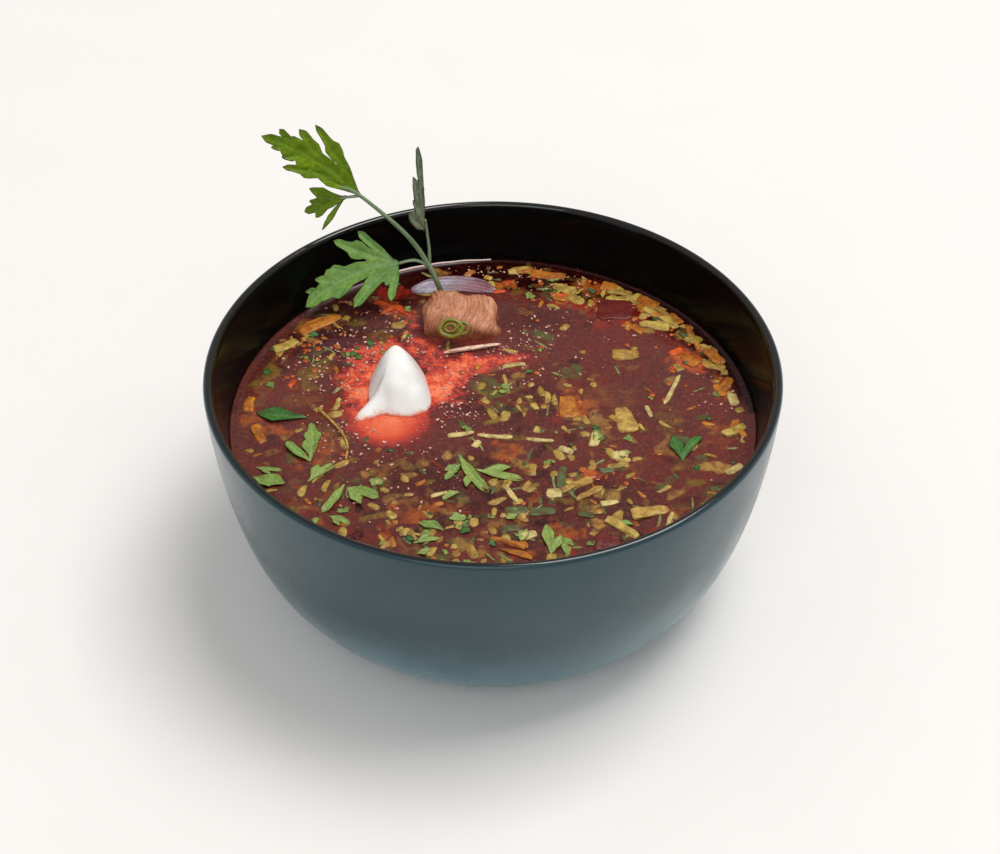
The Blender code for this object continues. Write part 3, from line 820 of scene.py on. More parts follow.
def wall_reflection_and_pools(x, y):
    """Where the broth is painted near-black red: along the back wall as painted reflection of the black
    wall, and in a few darker pools.
    """
    beyond = np.hypot(x, y + WALL_REFLECTION_SHIFT) - 74.0
    share = ((beyond + 1.5) / 3.0).clip(0.0, 1.0)
    side = ((x + 62.0) / 40.0).clip(0.35, 1.0)
    back = share * share * (3 - 2 * share) * side * (y > 0)
    pools = (
        ((-29, 54), (8, 7), 0, 0.9), ((-50, 34), (14, 9), 30, 0.35), ((20, 14), (22, 12), 0, 0.10),
        ((10, -36), (26, 9), 0, 0.25), ((-20, -26), (18, 10), 0, 0.45), ((12, 44), (16, 8), 0, 0.45),
    )  # fmt: skip
    total = sum(weight * blob(x, y, c, r, t) for c, r, t, weight in pools)
    return np.maximum(back, total).clip(0.0, 1.0)


def shaded_zones(x, y):
    """Where herbs and beetroot deeper down darken the broth."""
    blobs = (
        ((5, 3), (16, 10), 0, 0.75), ((-15, -36), (16, 9), 10, 0.45), ((22, -33), (26, 11), 0, 0.55),
        ((-53, 30), (13, 12), 0, 0.75), ((-35, 42), (14, 8), 0, 0.65), ((-6, -22), (14, 7), 0, 0.35),
        ((0, -47), (32, 8), 0, 0.40), ((-62, -14), (7, 14), 0, 0.45), ((44, -4), (12, 8), 0, 0.25),
    )  # fmt: skip
    return sum(weight * blob(x, y, c, r, t) for c, r, t, weight in blobs).clip(0.0, 1.0)

# %% Broth finish


def make_broth_finish():
    material, tree, shader = new_material("beetroot broth")
    place = place_mm(tree)
    wide = mottled(tree, place, 0.045)
    medium = mottled(tree, place, 0.30, 5.0, 0.42, 0.70)
    fine = mottled(tree, place, 1.3, 4.0, 0.50, 0.70)
    dark = mottled(tree, place, 0.75, 5.0, 0.50, 0.68)
    colour = mix(tree, wide["Mask"], (0.140, 0.0250, 0.0190), (0.110, 0.0290, 0.0245))
    colour = veil(tree, medium["Mask"], 0.55, colour, (0.185, 0.0280, 0.0120))
    colour = veil(tree, dark["Mask"], 0.42, colour, (0.055, 0.0060, 0.0090))
    # The red note paints the broth near-black red: along the back wall this is painted reflection of the
    # black wall; elsewhere it makes a few darker pools.
    colour = mix(tree, attribute(tree, "red"), colour, (0.016, 0.0006, 0.0004))
    patchy = span(tree, medium["Height"], 0.30, 0.62, 1.25, 0.35)
    shade = maths(tree, "MULTIPLY", attribute(tree, "shade"), patchy)
    colour = mix(tree, shade, colour, (0.040, 0.0085, 0.0075))
    ragged = maths(tree, "MULTIPLY", span(tree, medium["Height"], 0.32, 0.62, 0.25, 1.2),
                   span(tree, fine["Height"], 0.35, 0.60, 0.65, 1.1))  # fmt: skip
    cover = maths(tree, "MULTIPLY", attribute(tree, "cover"), ragged)
    colour = mix(tree, cover, colour, attribute(tree, "sunken", "Color"))
    grain = maths(tree, "MULTIPLY", fine["Mask"], 0.45)
    grain = maths(tree, "MULTIPLY", grain, span(tree, attribute(tree, "red"), 0.0, 1.0, 1.0, 0.25))
    colour = mix(tree, grain, colour, (0.270, 0.085, 0.062))
    streak = span(tree, medium["Height"], 0.3, 0.7, -0.26, 0.26)
    crumb = span(tree, fine["Height"], 0.3, 0.7, -0.07, 0.07)
    ragged = maths(tree, "MULTIPLY", maths(tree, "ADD", streak, crumb), attribute(tree, "ragged"))
    cloud = maths(tree, "ADD", attribute(tree, "cream"), ragged)
    cloud_colour = ramp(
        tree, cloud,
        [
            (0.28, (0.18, 0.022, 0.020)), (0.46, (0.37, 0.040, 0.032)), (0.62, (0.60, 0.062, 0.030)),
            (0.80, (0.78, 0.130, 0.052)), (0.93, (0.87, 0.225, 0.110)),
        ],
    )  # fmt: skip
    curd = maths(tree, "MULTIPLY", fine["Mask"], span(tree, cloud, 0.35, 0.75, 0.0, 0.26))
    curd = maths(tree, "MULTIPLY", curd, attribute(tree, "ragged"))
    cloud_colour = mix(tree, curd, cloud_colour, (0.92, 0.42, 0.33))
    colour = mix(tree, span(tree, cloud, 0.14, 0.44), colour, cloud_colour)
    shader.inputs["IOR"].default_value = 1.34
    calm = span(tree, attribute(tree, "red"), 0.0, 1.0, 1.0, 0.2)
    ripple = bump(tree, medium["Height"], maths(tree, "MULTIPLY", calm, 0.08), 0.20)
    fine_relief = bump(tree, fine["Height"], maths(tree, "MULTIPLY", calm, 0.12), 0.10, ripple)
    dress(tree, shader, colour, (place, 0.22, 0.05, 0.12), fine_relief)
    return material


def make_broth():
    """The surface as a fine disc with a raised edge, and coarse hidden sides along the wall."""
    wall = [inner_point(turn, 0.1) for turn in wall_turns(401)]
    below = [p for p in wall if p.y < LEVEL + 0.7]
    edge_radius = below[-1].x
    x, y, faces, rim = disc_grid(SURFACE_CELLS, edge_radius)
    radius = np.hypot(x, y)
    colour, cover, swell = sunken_bits(x, y)
    ripple = np.array([noise.noise(Vector((a * 0.09, b * 0.09, 3.0))) for a, b in zip(x, y)])
    z = LEVEL - 0.15 + 0.85 * np.exp(-(edge_radius - radius) / 0.9) + swell + 0.05 * ripple
    verts = [tuple(p) for p in np.column_stack([x, y, z])]
    ring = rim
    for point in reversed(below[::24][:-1]):
        fresh = []
        for i in ring:
            at = Vector(verts[i][:2]).normalized() * point.x
            fresh.append(len(verts))
            verts.append((at.x, at.y, point.y))
        for j in range(len(ring)):
            k = (j + 1) % len(ring)
            faces.append((ring[k], ring[j], fresh[j], fresh[k]))
        ring = fresh
    faces.append(tuple(reversed(ring)))
    extra = len(verts) - len(x)
    pad = lambda values: np.concatenate([values, np.zeros(extra)])
    tint = np.column_stack([colour, np.ones(len(x))])
    tint = np.vstack([tint, np.ones((extra, 4))])
    notes = {
        "cream": pad(cream_cloud(x, y)),
        "ragged": pad(1.0 - 0.92 * blob(x, y, (-29, -8), (18, 11))),
        "red": pad(wall_reflection_and_pools(x, y)),
        "shade": pad(shaded_zones(x, y)),
        "cover": pad(cover),
        "sunken": tint,
    }
    finish_piece("borscht_broth", verts, faces, make_broth_finish(), ["soup"], notes)
    print("broth verts", len(verts))


make_broth()

# %% [markdown]
# ## Vegetables in the broth
# Cooked vegetables have soft corners, fibres along their length and a red-brown stain where
# the broth wets them. The CAD part has a plain slab for each large piece. Its long, wide and
# thin directions are read back from the slab's own points, so each detailed piece lies exactly
# where its slab does.

# %% Vegetable finishes


def make_vegetable(name, dark, light, stretch, stain_strength=0.50, clear=0.9, relief=0.5):
    material, tree, shader = new_material(name)
    grain = attribute(tree, "grain", "Vector")
    strands = fibrous(tree, grain, stretch, 0.5)
    patches = mottled(tree, grain, 0.32, 5.0, 0.44, 0.64)
    share = maths(tree, "MULTIPLY", strands["Mask"], 0.45)
    share = maths(tree, "ADD", share, maths(tree, "MULTIPLY", attribute(tree, "tone"), 0.55))
    colour = mix(tree, share, dark, light)
    bruise = maths(tree, "MULTIPLY", patches["Mask"], 0.58)
    colour = mix(tree, bruise, colour, tuple(0.35 * c + s for c, s in zip(dark, (0.060, 0.012, 0.006))))
    shader.inputs["IOR"].default_value = 1.38
    relief = bump(tree, strands["Height"], relief, 0.25)
    dress(tree, shader, soaked(tree, colour, clear, stain_strength), (grain, 0.9, 0.16, 0.42), relief)
    return material


ALONG_LEAF, ALONG_STALK = (0.35, 2.0, 2.0), (0.4, 2.0, 2.0)
carrot = make_vegetable("cooked carrot", (0.400, 0.100, 0.012), (0.700, 0.280, 0.028), (0.5, 1.6, 1.6))
stained_carrot = make_vegetable(
    "stained carrot", (0.480, 0.030, 0.008), (0.860, 0.150, 0.020), (0.5, 1.8, 1.8), 0.2
)
potato = make_vegetable("cooked potato", (0.420, 0.230, 0.040), (0.640, 0.430, 0.100), (0.9, 1.2, 1.2))
cabbage = make_vegetable("cooked cabbage", (0.360, 0.230, 0.028), (0.700, 0.520, 0.125), ALONG_LEAF)
pale_stalk = make_vegetable("pale stalk", (0.480, 0.340, 0.090), (0.840, 0.700, 0.300), ALONG_LEAF, 0.3)
pale_green = make_vegetable(
    "pale green stalk", (0.100, 0.150, 0.045), (0.380, 0.430, 0.150), ALONG_STALK, 0.3
)
beetroot = make_vegetable("cooked beetroot", (0.080, 0.008, 0.008), (0.170, 0.016, 0.012), (0.6, 1.4, 1.4))
greens = make_vegetable(
    "cooked scallion tops", (0.028, 0.080, 0.026), (0.110, 0.210, 0.070), (0.3, 2.4, 2.4), 0.6
)
print("finishes so far:", len(bpy.data.materials))

# %% The large floating pieces


def lie_of(node):
    """Middle, directions (long, wide, thin) and sizes of a CAD slab, in millimetres."""
    points = np.array([v.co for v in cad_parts[node].data.vertices], float) / MM
    middle = (points.min(axis=0) + points.max(axis=0)) / 2
    flat = points[:, :2] - points[:, :2].mean(axis=0)
    long_way = np.linalg.svd(flat, full_matrices=False)[2][0]
    angle = math.degrees(math.atan2(long_way[1], long_way[0]))
    wide_way = np.array((-long_way[1], long_way[0]))
    size = (np.ptp(flat @ long_way), np.ptp(flat @ wide_way), np.ptp(points[:, 2]))
    return middle, angle, size


LARGE = (
    ("carrot", carrot, "strip_back slice_back_left chunk_left strip_left piece_back_a piece_back_b "
     "piece_right_a piece_right_b wedge_middle stick_front_a stick_front_b"),
    ("potato", potato, "piece_right chunk_middle stick_front_a stick_front_b slab_front"),
    ("cabbage", cabbage, "piece_left piece_back chunk_right strip_front"),
    ("beetroot", beetroot, "slice_back slice_front"),
)  # fmt: skip
SLAB_THICKNESS, SLAB_SHOWS = 1.9, 0.45


def make_large_pieces():
    for kind, material, places in LARGE:
        for node in (f"{kind}_{place}" for place in places.split()):
            middle, angle, size = lie_of(node)
            shape_seed = random.uniform(0, 50)
            taper = random.uniform(0.15, 0.4)
            block = (size[0], size[1], SLAB_THICKNESS)
            points, faces = lump(block, shape_seed, 9, 6.0, taper, random.uniform(-0.10, 0.10), 0.16)
            height = LEVEL - SLAB_THICKNESS / 2 + SLAB_SHOWS
            lean = random.uniform(-5, 5)
            matrix = standing(middle[:2], height, angle, lean, random.uniform(-3, 3))
            batch = Batch()
            batch.add(points, faces, matrix, random.random())
            batch.finish(node + "_cooked", material, kind, [node])


make_large_pieces()

# %% Small bits, half sunk


def scatter_bits(name, material, slot, count, length, width, thick, show, tones=(0, 1), even=0.0):
    """Scatter small lumps of one kind; show is how far their tops stand out."""
    batch = Batch()
    for spot in scattered_spots(count, FLOAT_REACH + 0.5, even):
        size = (random.uniform(*length), random.uniform(*width), random.uniform(*thick))
        points, faces = lump(size, random.uniform(0, 90), 2, 3.0, random.uniform(0, 0.5),
                             random.uniform(-0.2, 0.2), 0.3)  # fmt: skip
        height = LEVEL - size[2] / 2 + random.uniform(*show)
        turn, lean, pitch = random.uniform(0, 360), random.uniform(-12, 12), random.uniform(-6, 6)
        matrix = standing(spot, height, turn, lean, pitch)
        batch.add(points, faces, matrix, random.uniform(*tones))
    batch.finish(name, material, slot)


scatter_bits("cabbage_bits", cabbage, "cabbage", 150, (2.0, 6.2), (1.1, 3.4), (0.6, 1.2), (-0.05, 0.20))
scatter_bits("carrot_bits", carrot, "carrot", 80, (1.4, 4.6), (0.9, 2.6), (0.6, 1.2), (-0.05, 0.2))
scatter_bits("potato_bits", potato, "potato", 60, (1.6, 4.2), (1.2, 2.8), (0.6, 1.2), (-0.05, 0.2))
scatter_bits(
    "stalk_bits", pale_green, "cabbage", 45, (3.0, 7.5), (0.6, 1.1), (0.5, 0.8), (-0.02, 0.2), (0.4, 1)
)
scatter_bits("green_bits", greens, "scallion", 60, (1.4, 4.2), (0.8, 2.2), (0.4, 0.8), (-0.02, 0.15))

# %% Bits that gather along the back wall


def wall_bits(name, material, slot, count, length, width, tones=(0.2, 1)):
    """Pieces washed up against the wall, lying more or less along it."""
    batch = Batch()
    for _ in range(count):
        away = random.gauss(46.0, 34.0)
        angle = math.radians(away)
        reach = FLOAT_REACH + 0.3 - abs(random.gauss(0.0, 6.5))
        spot = (reach * math.cos(angle), reach * math.sin(angle))
        size = (random.uniform(*length), random.uniform(*width), random.uniform(0.8, 1.3))
        points, faces = lump(size, random.uniform(0, 90), 5, 4.0, random.uniform(0, 0.5),
                             random.uniform(-0.15, 0.15), 0.28)  # fmt: skip
        turn = away + 90 + random.gauss(0, 35)
        height = LEVEL - size[2] / 2 + random.uniform(-0.05, 0.5)
        matrix = standing(spot, height, turn, random.uniform(-12, 12), random.uniform(-8, 8))
        batch.add(points, faces, matrix, random.uniform(*tones))
    batch.finish(name, material, slot)


wall_bits("wall_bits_cabbage", cabbage, "cabbage", 22, (3.6, 8.0), (2.0, 4.0))
wall_bits("wall_bits_carrot", carrot, "carrot", 15, (3.2, 7.0), (1.8, 3.4))
wall_bits("wall_bits_green", greens, "scallion", 8, (1.8, 4.0), (1.0, 2.4))

# %% Bits that stand out
# middle, turn, length, width
SEEN_GREENS = (
    ((6.2, -39.3), 5, 6.5, 3.2), ((13.1, -39.7), 3, 7.5, 3.6), ((4.5, -46.2), 0, 5.5, 2.6),
    ((18.8, -26.2), 84, 9.5, 2.8), ((31.2, -23.4), 5, 4.5, 2.2), ((25, -41), -20, 5.0, 2.4),
    ((52.5, -10.5), 150, 6.0, 3.0), ((10.2, -17.0), 70, 6.0, 0.9),
)  # fmt: skip
SEEN_PALE = (
    ((0.5, -9.5), -6, 10.0, 1.5), ((13.0, -11.0), -10, 8.0, 1.3), ((4.9, -33.0), -64, 7.5, 1.6),
    ((-9.0, -8.5), 12, 7.5, 2.0), ((6.1, 22.3), 11, 7.0, 1.8), ((51.7, 11.2), 68, 14.0, 1.4),
    ((44.2, 1.4), -75, 5.0, 1.3), ((16.5, -32.6), 5, 4.2, 3.6), ((20.2, -15.1), -30, 4.6, 2.6),
    ((28.5, -10.5), 80, 6.0, 3.0), ((35.1, -17.2), 10, 4.4, 3.4), ((31.4, -36.5), 10, 5.0, 2.2),
    ((9.2, -48.9), 20, 5.0, 3.6), ((47.1, -42.9), 76, 6.0, 1.6), ((-14.5, -33.0), 20, 5.0, 1.6),
    ((68.7, 6.7), 100, 5.0, 3.0), ((66.3, -23.1), 40, 6.0, 2.6), ((-4.5, -12.5), 60, 3.0, 2.2),
)  # fmt: skip


def make_seen_bits(name, material, slot, bits, show):
    batch = Batch()
    for spot, turn, length, width in bits:
        points, faces = lump((length, width, 0.9), spot[0], 5, 4.5, random.uniform(0, 0.35),
                             random.uniform(-0.1, 0.1), 0.22)  # fmt: skip
        matrix = standing(spot, LEVEL - 0.45 + show, turn, random.uniform(-6, 6), random.uniform(-3, 3))
        batch.add(points, faces, matrix, random.uniform(0.4, 1.0))
    batch.finish(name, material, slot)


SEEN_RED = (
    ((-34.0, 52.0), -30, 6.0, 2.0), ((-30.5, 50.5), -12, 6.5, 1.8), ((-27.5, 48.0), -40, 5.0, 1.6),
    ((-32.0, 48.5), 35, 4.5, 1.4), ((54.0, 28.5), 40, 5.0, 2.2), ((22.0, 56.0), -8, 5.5, 1.8),
    ((-58.0, 14.0), 60, 4.0, 1.6), ((2.0, 58.0), 20, 4.0, 1.5), ((37.0, 50.0), -25, 5.0, 1.8),
)  # fmt: skip
make_seen_bits("stained_shreds", stained_carrot, "carrot", SEEN_RED, 0.30)
make_seen_bits("scallion_tops", greens, "scallion", SEEN_GREENS, 0.22)
make_seen_bits("pale_sticks", pale_stalk, "cabbage", SEEN_PALE, 0.30)

# %% [markdown]
# ## Beef, onion and scallion
# Boiled beef falls into fibres. The cube is the CAD part's own cube with a far finer skin,
# and its fibres are pushed out of the mesh itself, so that they catch the light from any
# side. The onion is a translucent slice stained lilac, and the scallion a thin green ring.

# %% Beef
BEEF_MIDDLE = Vector((-9.4, 41.5, 50.5))
BEEF_SIZE = Vector((25.5, 17.0, 17.0))


def make_beef_finish():
    material, tree, shader = new_material("boiled beef")
    grain = attribute(tree, "grain", "Vector")
    strands = fibrous(tree, grain, (2.2, 0.25, 0.25), 2.4)
    fine = fibrous(tree, grain, (4.0, 0.5, 0.5), 0.8)
    patch = mottled(tree, grain, 0.16)
    colour = mix(tree, strands["Mask"], (0.310, 0.085, 0.034), (0.640, 0.250, 0.118))
    colour = veil(tree, fine["Mask"], 0.4, colour, (0.780, 0.370, 0.200))
    colour = veil(tree, patch["Mask"], 0.35, colour, (0.260, 0.090, 0.040))
    along = add_node(tree, "SeparateXYZ", {0: grain}).outputs["X"]
    colour = mix(tree, span(tree, along, 5.0, 11.5, 0.0, 0.55), colour, (0.860, 0.400, 0.220))
    first = bump(tree, strands["Height"], 0.7, 0.5)
    colour = soaked(tree, colour, 3.6, 0.8, (0.210, 0.038, 0.010))
    relief = bump(tree, fine["Height"], 0.5, 0.2, first)
    dress(tree, shader, colour, (grain, 0.6, 0.20, 0.50), relief)
    return material


def make_beef():
    units, faces = rounded_cube(40, 4.5)
    turn = Matrix.Rotation(math.radians(-6), 3, "Z")
    verts, grain = [], []
    for u in map(Vector, units):
        top = 0.5 + u.z / 2
        co = u / 2
        co.x *= 1.0 - 0.14 * top
        co.y *= 1.0 - 0.18 * top
        co.y += 0.05 * top
        co += noise.noise_vector(u * 1.3 + Vector((SEED, 0, 0))) * 0.085
        co = Vector((co.x * BEEF_SIZE.x, co.y * BEEF_SIZE.y, co.z * BEEF_SIZE.z))
        fan = co.x * (1.0 - 0.02 * co.z) + 0.04 * co.y * co.y + 0.9 * noise.noise(co * 0.16)
        strand = Vector((fan * 0.75, co.y * 0.10 + 9.0, co.z * 0.10))
        tear = Vector((fan * 0.28, co.y * 0.08, co.z * 0.08 + 5.0))
        push = 0.45 * noise.noise(strand * 2.2) + 1.0 * noise.noise(tear * 1.2)
        outward = Vector((u.x**3, u.y**3, u.z**3)).normalized()
        grain.append((fan, co.y, co.z))
        co += outward * (push - 0.25)
        co.z += 1.4 * u.y * top - 1.4 * u.x * top
        verts.append(turn @ co + BEEF_MIDDLE)
    finish_piece("beef_cube_boiled", verts, faces, make_beef_finish(), ["beef_cube"],
                 {"grain": grain})  # fmt: skip


make_beef()

# %% Onion


def make_onion_finish():
    material, tree, shader = new_material("stained onion")
    grain = attribute(tree, "grain", "Vector")
    layers = fibrous(tree, grain, (0.12, 1.6, 0.8), 0.8)
    patch = mottled(tree, grain, 0.18, 3.0)
    colour = mix(tree, layers["Mask"], (0.340, 0.330, 0.420), (0.560, 0.550, 0.640))
    dusky = mix(tree, layers["Mask"], (0.120, 0.050, 0.070), (0.330, 0.200, 0.230))
    colour = mix(tree, attribute(tree, "tone"), colour, dusky)
    colour = veil(tree, patch["Mask"], 0.6, colour, (0.300, 0.110, 0.120))
    colour = soaked(tree, colour, 0.9, 0.7, (0.10, 0.02, 0.04))
    relief = bump(tree, layers["Height"], 0.4, 0.3)
    dress(tree, shader, colour, (grain, 0.5, 0.10, 0.25), relief)
    return material


def make_onion():
    units, faces = rounded_cube(40, 4)
    verts, grain, tone = [], [], []
    for u in units:
        width = 3.8 * (1.0 - 0.35 * abs(u[0]) ** 4)
        tone.append(min(max(0.5 + 0.75 * u[0], 0.0), 1.0))
        x, y, z = u[0] * 13.2, u[1] * width, u[2] * 1.0
        z += 0.35 * math.sin(u[1] * 7.0 + 0.6 * u[0]) * max(u[2], 0.0)
        z -= 0.5 * u[0] ** 2
        grain.append((x, y, z))
        bend = -2.6 * u[0] * u[0]
        verts.append((x - 12.0, y + bend + 61.5, z + LEVEL))
    finish_piece("onion_slice_cooked", verts, faces, make_onion_finish(), ["onion_slice"],
                 {"grain": grain, "tone": tone})  # fmt: skip


make_onion()

# %% Scallion ring


def make_scallion_finish():
    material, tree, shader = new_material("scallion green")
    grain = attribute(tree, "grain", "Vector")
    veins = fibrous(tree, grain, (3.0, 3.0, 0.4), 0.3)
    colour = mix(tree, veins["Mask"], (0.150, 0.160, 0.008), (0.360, 0.330, 0.020))
    colour = mix(tree, attribute(tree, "tone"), colour, (0.085, 0.100, 0.012))
    dress(tree, shader, colour, (grain, 0.8, 0.12, 0.28), bump(tree, veins["Height"], 0.3, 0.15))
    return material


# middle, radii, wall, height, seed
HOOPS = (
    (0.0, (3.2, 2.5), 1.25, 1.9, 1.0),
    (-0.2, (1.6, 1.1), 0.75, 1.6, 4.0),
    (3.6, (1.5, 1.7), 0.8, 1.5, 7.0),
)


def hoop(middle, radii, wall, height, seed, sides=64, around=10):
    """A closed band round an ellipse with a rounded section; its tone goes from inside to out."""
    points, faces, tone = [], [], []
    for i, (c, s) in enumerate(round_points(sides)):
        out = 1.0 + 0.12 * noise.noise(Vector((c, s, seed)))
        for j, (side, up) in enumerate(round_points(around)):
            off = wall / 2 * side
            rise = height / 2 * math.copysign(abs(up) ** 0.6, up)
            points.append((middle + (radii[0] * out + off) * c, (radii[1] * out + off) * s, rise))
            tone.append(0.35 - 0.35 * side)
            a, b, m = i * around, (i + 1) % sides * around, (j + 1) % around
            faces.append((a + j, b + j, b + m, a + m))
    return points, faces, tone


def make_scallion():
    batch = Batch()
    matrix = standing((-12.3, 32.6), 57.6, 0, 38)
    for row in HOOPS:
        points, faces, tone = hoop(*row)
        batch.add(points, faces, matrix, tone)
    batch.finish("scallion_ring_cut", make_scallion_finish(), "scallion", ["scallion_ring"])


make_scallion()

# %% Pale shred, a painted highlight


def make_glint_shred():
    # A pale shred in front of the beef that stands in for the glint on the meniscus along the beef's wet
    # front edge: a painted highlight.
    middle, angle, size = lie_of("cabbage_shred")
    points, faces = lump((size[0], 1.3, 0.9), 3.0, 9, 3.0, 0.2, -0.05, 0.25)
    pale, tree, shader = new_material("pale shred")
    grain = attribute(tree, "grain", "Vector")
    strands = fibrous(tree, grain, (0.4, 2.4, 2.4), 0.4)
    colour = mix(tree, strands["Mask"], (0.62, 0.30, 0.20), (0.86, 0.62, 0.48))
    dress(tree, shader, colour, (grain, 0.9, 0.10, 0.25), bump(tree, strands["Height"], 0.4, 0.2))
    batch = Batch()
    batch.add(points, faces, standing(middle[:2], middle[2], angle), 0.6)
    batch.finish("cabbage_shred_glint", pale, "cabbage", ["cabbage_shred"])


make_glint_shred()

# %% [markdown]
# ## Sour cream
# A spoonful pulled off the spoon leaves a leaning peak, a ridge and a tail. It is smooth and
# thick, so light goes a little way in; its foot takes colour from the broth.

# %% Cream shape and finish
CREAM_MIDDLE = Vector((-27.0, 8.0))
CREAM_PEAK = Vector((-1.0, 8.5))
CREAM_HEIGHT, CREAM_RADIUS, CREAM_SUNK = 11.6, 8.8, 2.0
# direction, how much further, spread, how low down it stays
CREAM_CORNERS = ((221, 8.0, 0.22, 5.0), (-38, 1.8, 0.60, 3.0), (94, 8.0, 0.75, 1.2))


def make_cream_finish():
    material, tree, shader = new_material("sour cream")
    place = place_mm(tree)
    smear = mottled(tree, place, 0.22, 3.0)
    fine = mottled(tree, place, 1.4, 3.0)
    colour = mix(tree, smear["Mask"], (0.880, 0.865, 0.820), (0.940, 0.930, 0.905))
    shader.inputs["Subsurface Weight"].default_value = 0.30
    shader.inputs["Subsurface Radius"].default_value = (1.0, 0.7, 0.5)
    shader.inputs["Subsurface Scale"].default_value = 1.6 * MM
    first = bump(tree, smear["Height"], 0.25, 0.4)
    colour = soaked(tree, colour, 1.5, 1.0, (0.90, 0.24, 0.13))
    relief = bump(tree, fine["Height"], 0.12, 0.1, first)
    dress(tree, shader, colour, (place, 0.3, 0.34, 0.50), relief)
    return material


def cream_reach(angle, share):
    """How far the cream reaches at one level: the drawn-out corners are only low down."""
    reach = CREAM_RADIUS * share**0.72
    for direction, further, spread, low in CREAM_CORNERS:
        away = angle - math.radians(direction)
        away = math.atan2(math.sin(away), math.cos(away))
        reach += further * math.exp(-((away / spread) ** 2)) * share**low
    return Vector((reach * math.cos(angle), reach * math.sin(angle)))


def make_cream():
    """Rings that shrink and lean towards the peak, closed by a tip and a sunken underside."""
    rings, sides = 60, 144
    verts = []
    for ring in range(rings):
        share = 1.0 - ring / rings
        lean = (1.0 - share) ** 1.3
        height = CREAM_HEIGHT * (1.0 - share**1.5)
        for side in range(sides):
            angle = 2 * math.pi * side / sides
            spot = cream_reach(angle, share) + CREAM_PEAK * lean
            fold = math.exp(-(((angle - math.radians(205)) / 0.55) ** 2))
            spot *= 1.0 - 0.20 * fold * math.sin(math.pi * share)
            at = CREAM_MIDDLE + spot
            swirl = noise.noise(Vector((at.x * 0.14, at.y * 0.14, height * 0.25)))
            lift = 0.5 * swirl * math.sin(math.pi * share)
            verts.append((at.x, at.y, LEVEL + height + lift - 0.05))
    tip, under, last = len(verts), len(verts) + 1, (rings - 1) * sides
    verts.append((*(CREAM_MIDDLE + CREAM_PEAK), LEVEL + CREAM_HEIGHT))
    for side in range(sides):
        spot = CREAM_MIDDLE + cream_reach(2 * math.pi * side / sides, 1.0) * 0.9
        verts.append((*spot, LEVEL - CREAM_SUNK))
    faces = band_faces(rings, sides)
    for side in range(sides):
        k = (side + 1) % sides
        faces.append((under + side, under + k, k, side))
        faces.append((last + side, last + k, tip))
    faces.append(tuple(under + side for side in reversed(range(sides))))
    finish = make_cream_finish()
    item = finish_piece("sour_cream_dollop", verts, faces, finish, ["sour_cream"])
    smooth = item.modifiers.new("Smooth", "SMOOTH")
    smooth.factor, smooth.iterations = 0.5, 6


make_cream()

# %% [markdown]
# ## Parsley
# A parsley leaf is a few lobes with toothed sides on one stalk, some of them growing off the
# middle rib. Each lobe is an outline about its own bent rib; all of them are merged into one
# flat sheet with points inside it too, so that it can be bent, cupped and quilted between its
# veins. Veins and edge are written on the mesh as notes.

# %% Leaf shape


def lobe_width(share, half_width):
    if share < 0.60:
        return half_width * (0.13 + 0.87 * (share / 0.60) ** 1.25)
    return half_width * (max(1.0 - share, 0.0) / 0.40) ** 0.70


class Lobe:
    """One lobe: its rib starts on the first lobe's rib and bows sideways by bend."""

    def __init__(self, first, direction, length, half_width, root=0.0, teeth=1, bend=0.0):
        angle = math.radians(direction)
        self.along = Vector((math.cos(angle), math.sin(angle)))
        self.across = Vector((-self.along.y, self.along.x))
        self.start = first.rib(root) if first else Vector((0.0, 0.0))
        self.length, self.half_width, self.teeth, self.bend = length, half_width, teeth, bend

    def rib(self, share):
        bow = 4 * self.bend * share * (1 - share)
        return self.start + self.along * self.length * share + self.across * bow

    def outline(self):
        """Out along one side, round the tip and back, with teeth pointing to the tip."""
        first = 0.48
        step = (0.97 - first) / max(self.teeth, 1)
        side = [(s, lobe_width(s, self.half_width)) for s in (0.0, 0.12, 0.24, 0.36)]
        for i in range(self.teeth):
            notch = first + step * i
            tip = notch + 0.74 * step
            low = 0.80 * lobe_width(notch, self.half_width)
            high = 1.12 * lobe_width(tip, self.half_width)
            side.append((notch, low))
            side.append((notch + 0.40 * step, low + 0.80 * (high - low)))
            side.append((tip, high))
            side.append((tip + 0.12 * step, high * 0.84))
        if not self.teeth:
            side += [(s, lobe_width(s, self.half_width)) for s in (0.5, 0.62, 0.75, 0.86, 0.95)]
        right = [self.rib(s) - self.across * w for s, w in side]
        left = [self.rib(s) + self.across * w for s, w in side]
        return right + [self.rib(1.0)] + left[::-1]

    def gap(self, p):
        """Distance from p to the rib, and how far along the rib that is."""
        stops = [self.rib(i / 6 * 0.96) for i in range(7)]
        best = min((to_segment(p, stops[i], stops[i + 1]) + (i,) for i in range(6)), key=lambda g: g[0])
        return best[0], (best[2] + best[1]) / 6


def inside(point, outline):
    """Whether a point is inside a closed outline."""
    x, y = point
    odd = False
    for a, b in zip(outline, outline[1:] + outline[:1]):
        if (a.y > y) != (b.y > y) and x < (b.x - a.x) * (y - a.y) / (b.y - a.y) + a.x:
            odd = not odd
    return odd


def to_segment(p, a, b):
    along = b - a
    share = max(0.0, min(1.0, (p - a).dot(along) / max(along.length_squared, 1e-9)))
    return (p - a - along * share).length, share


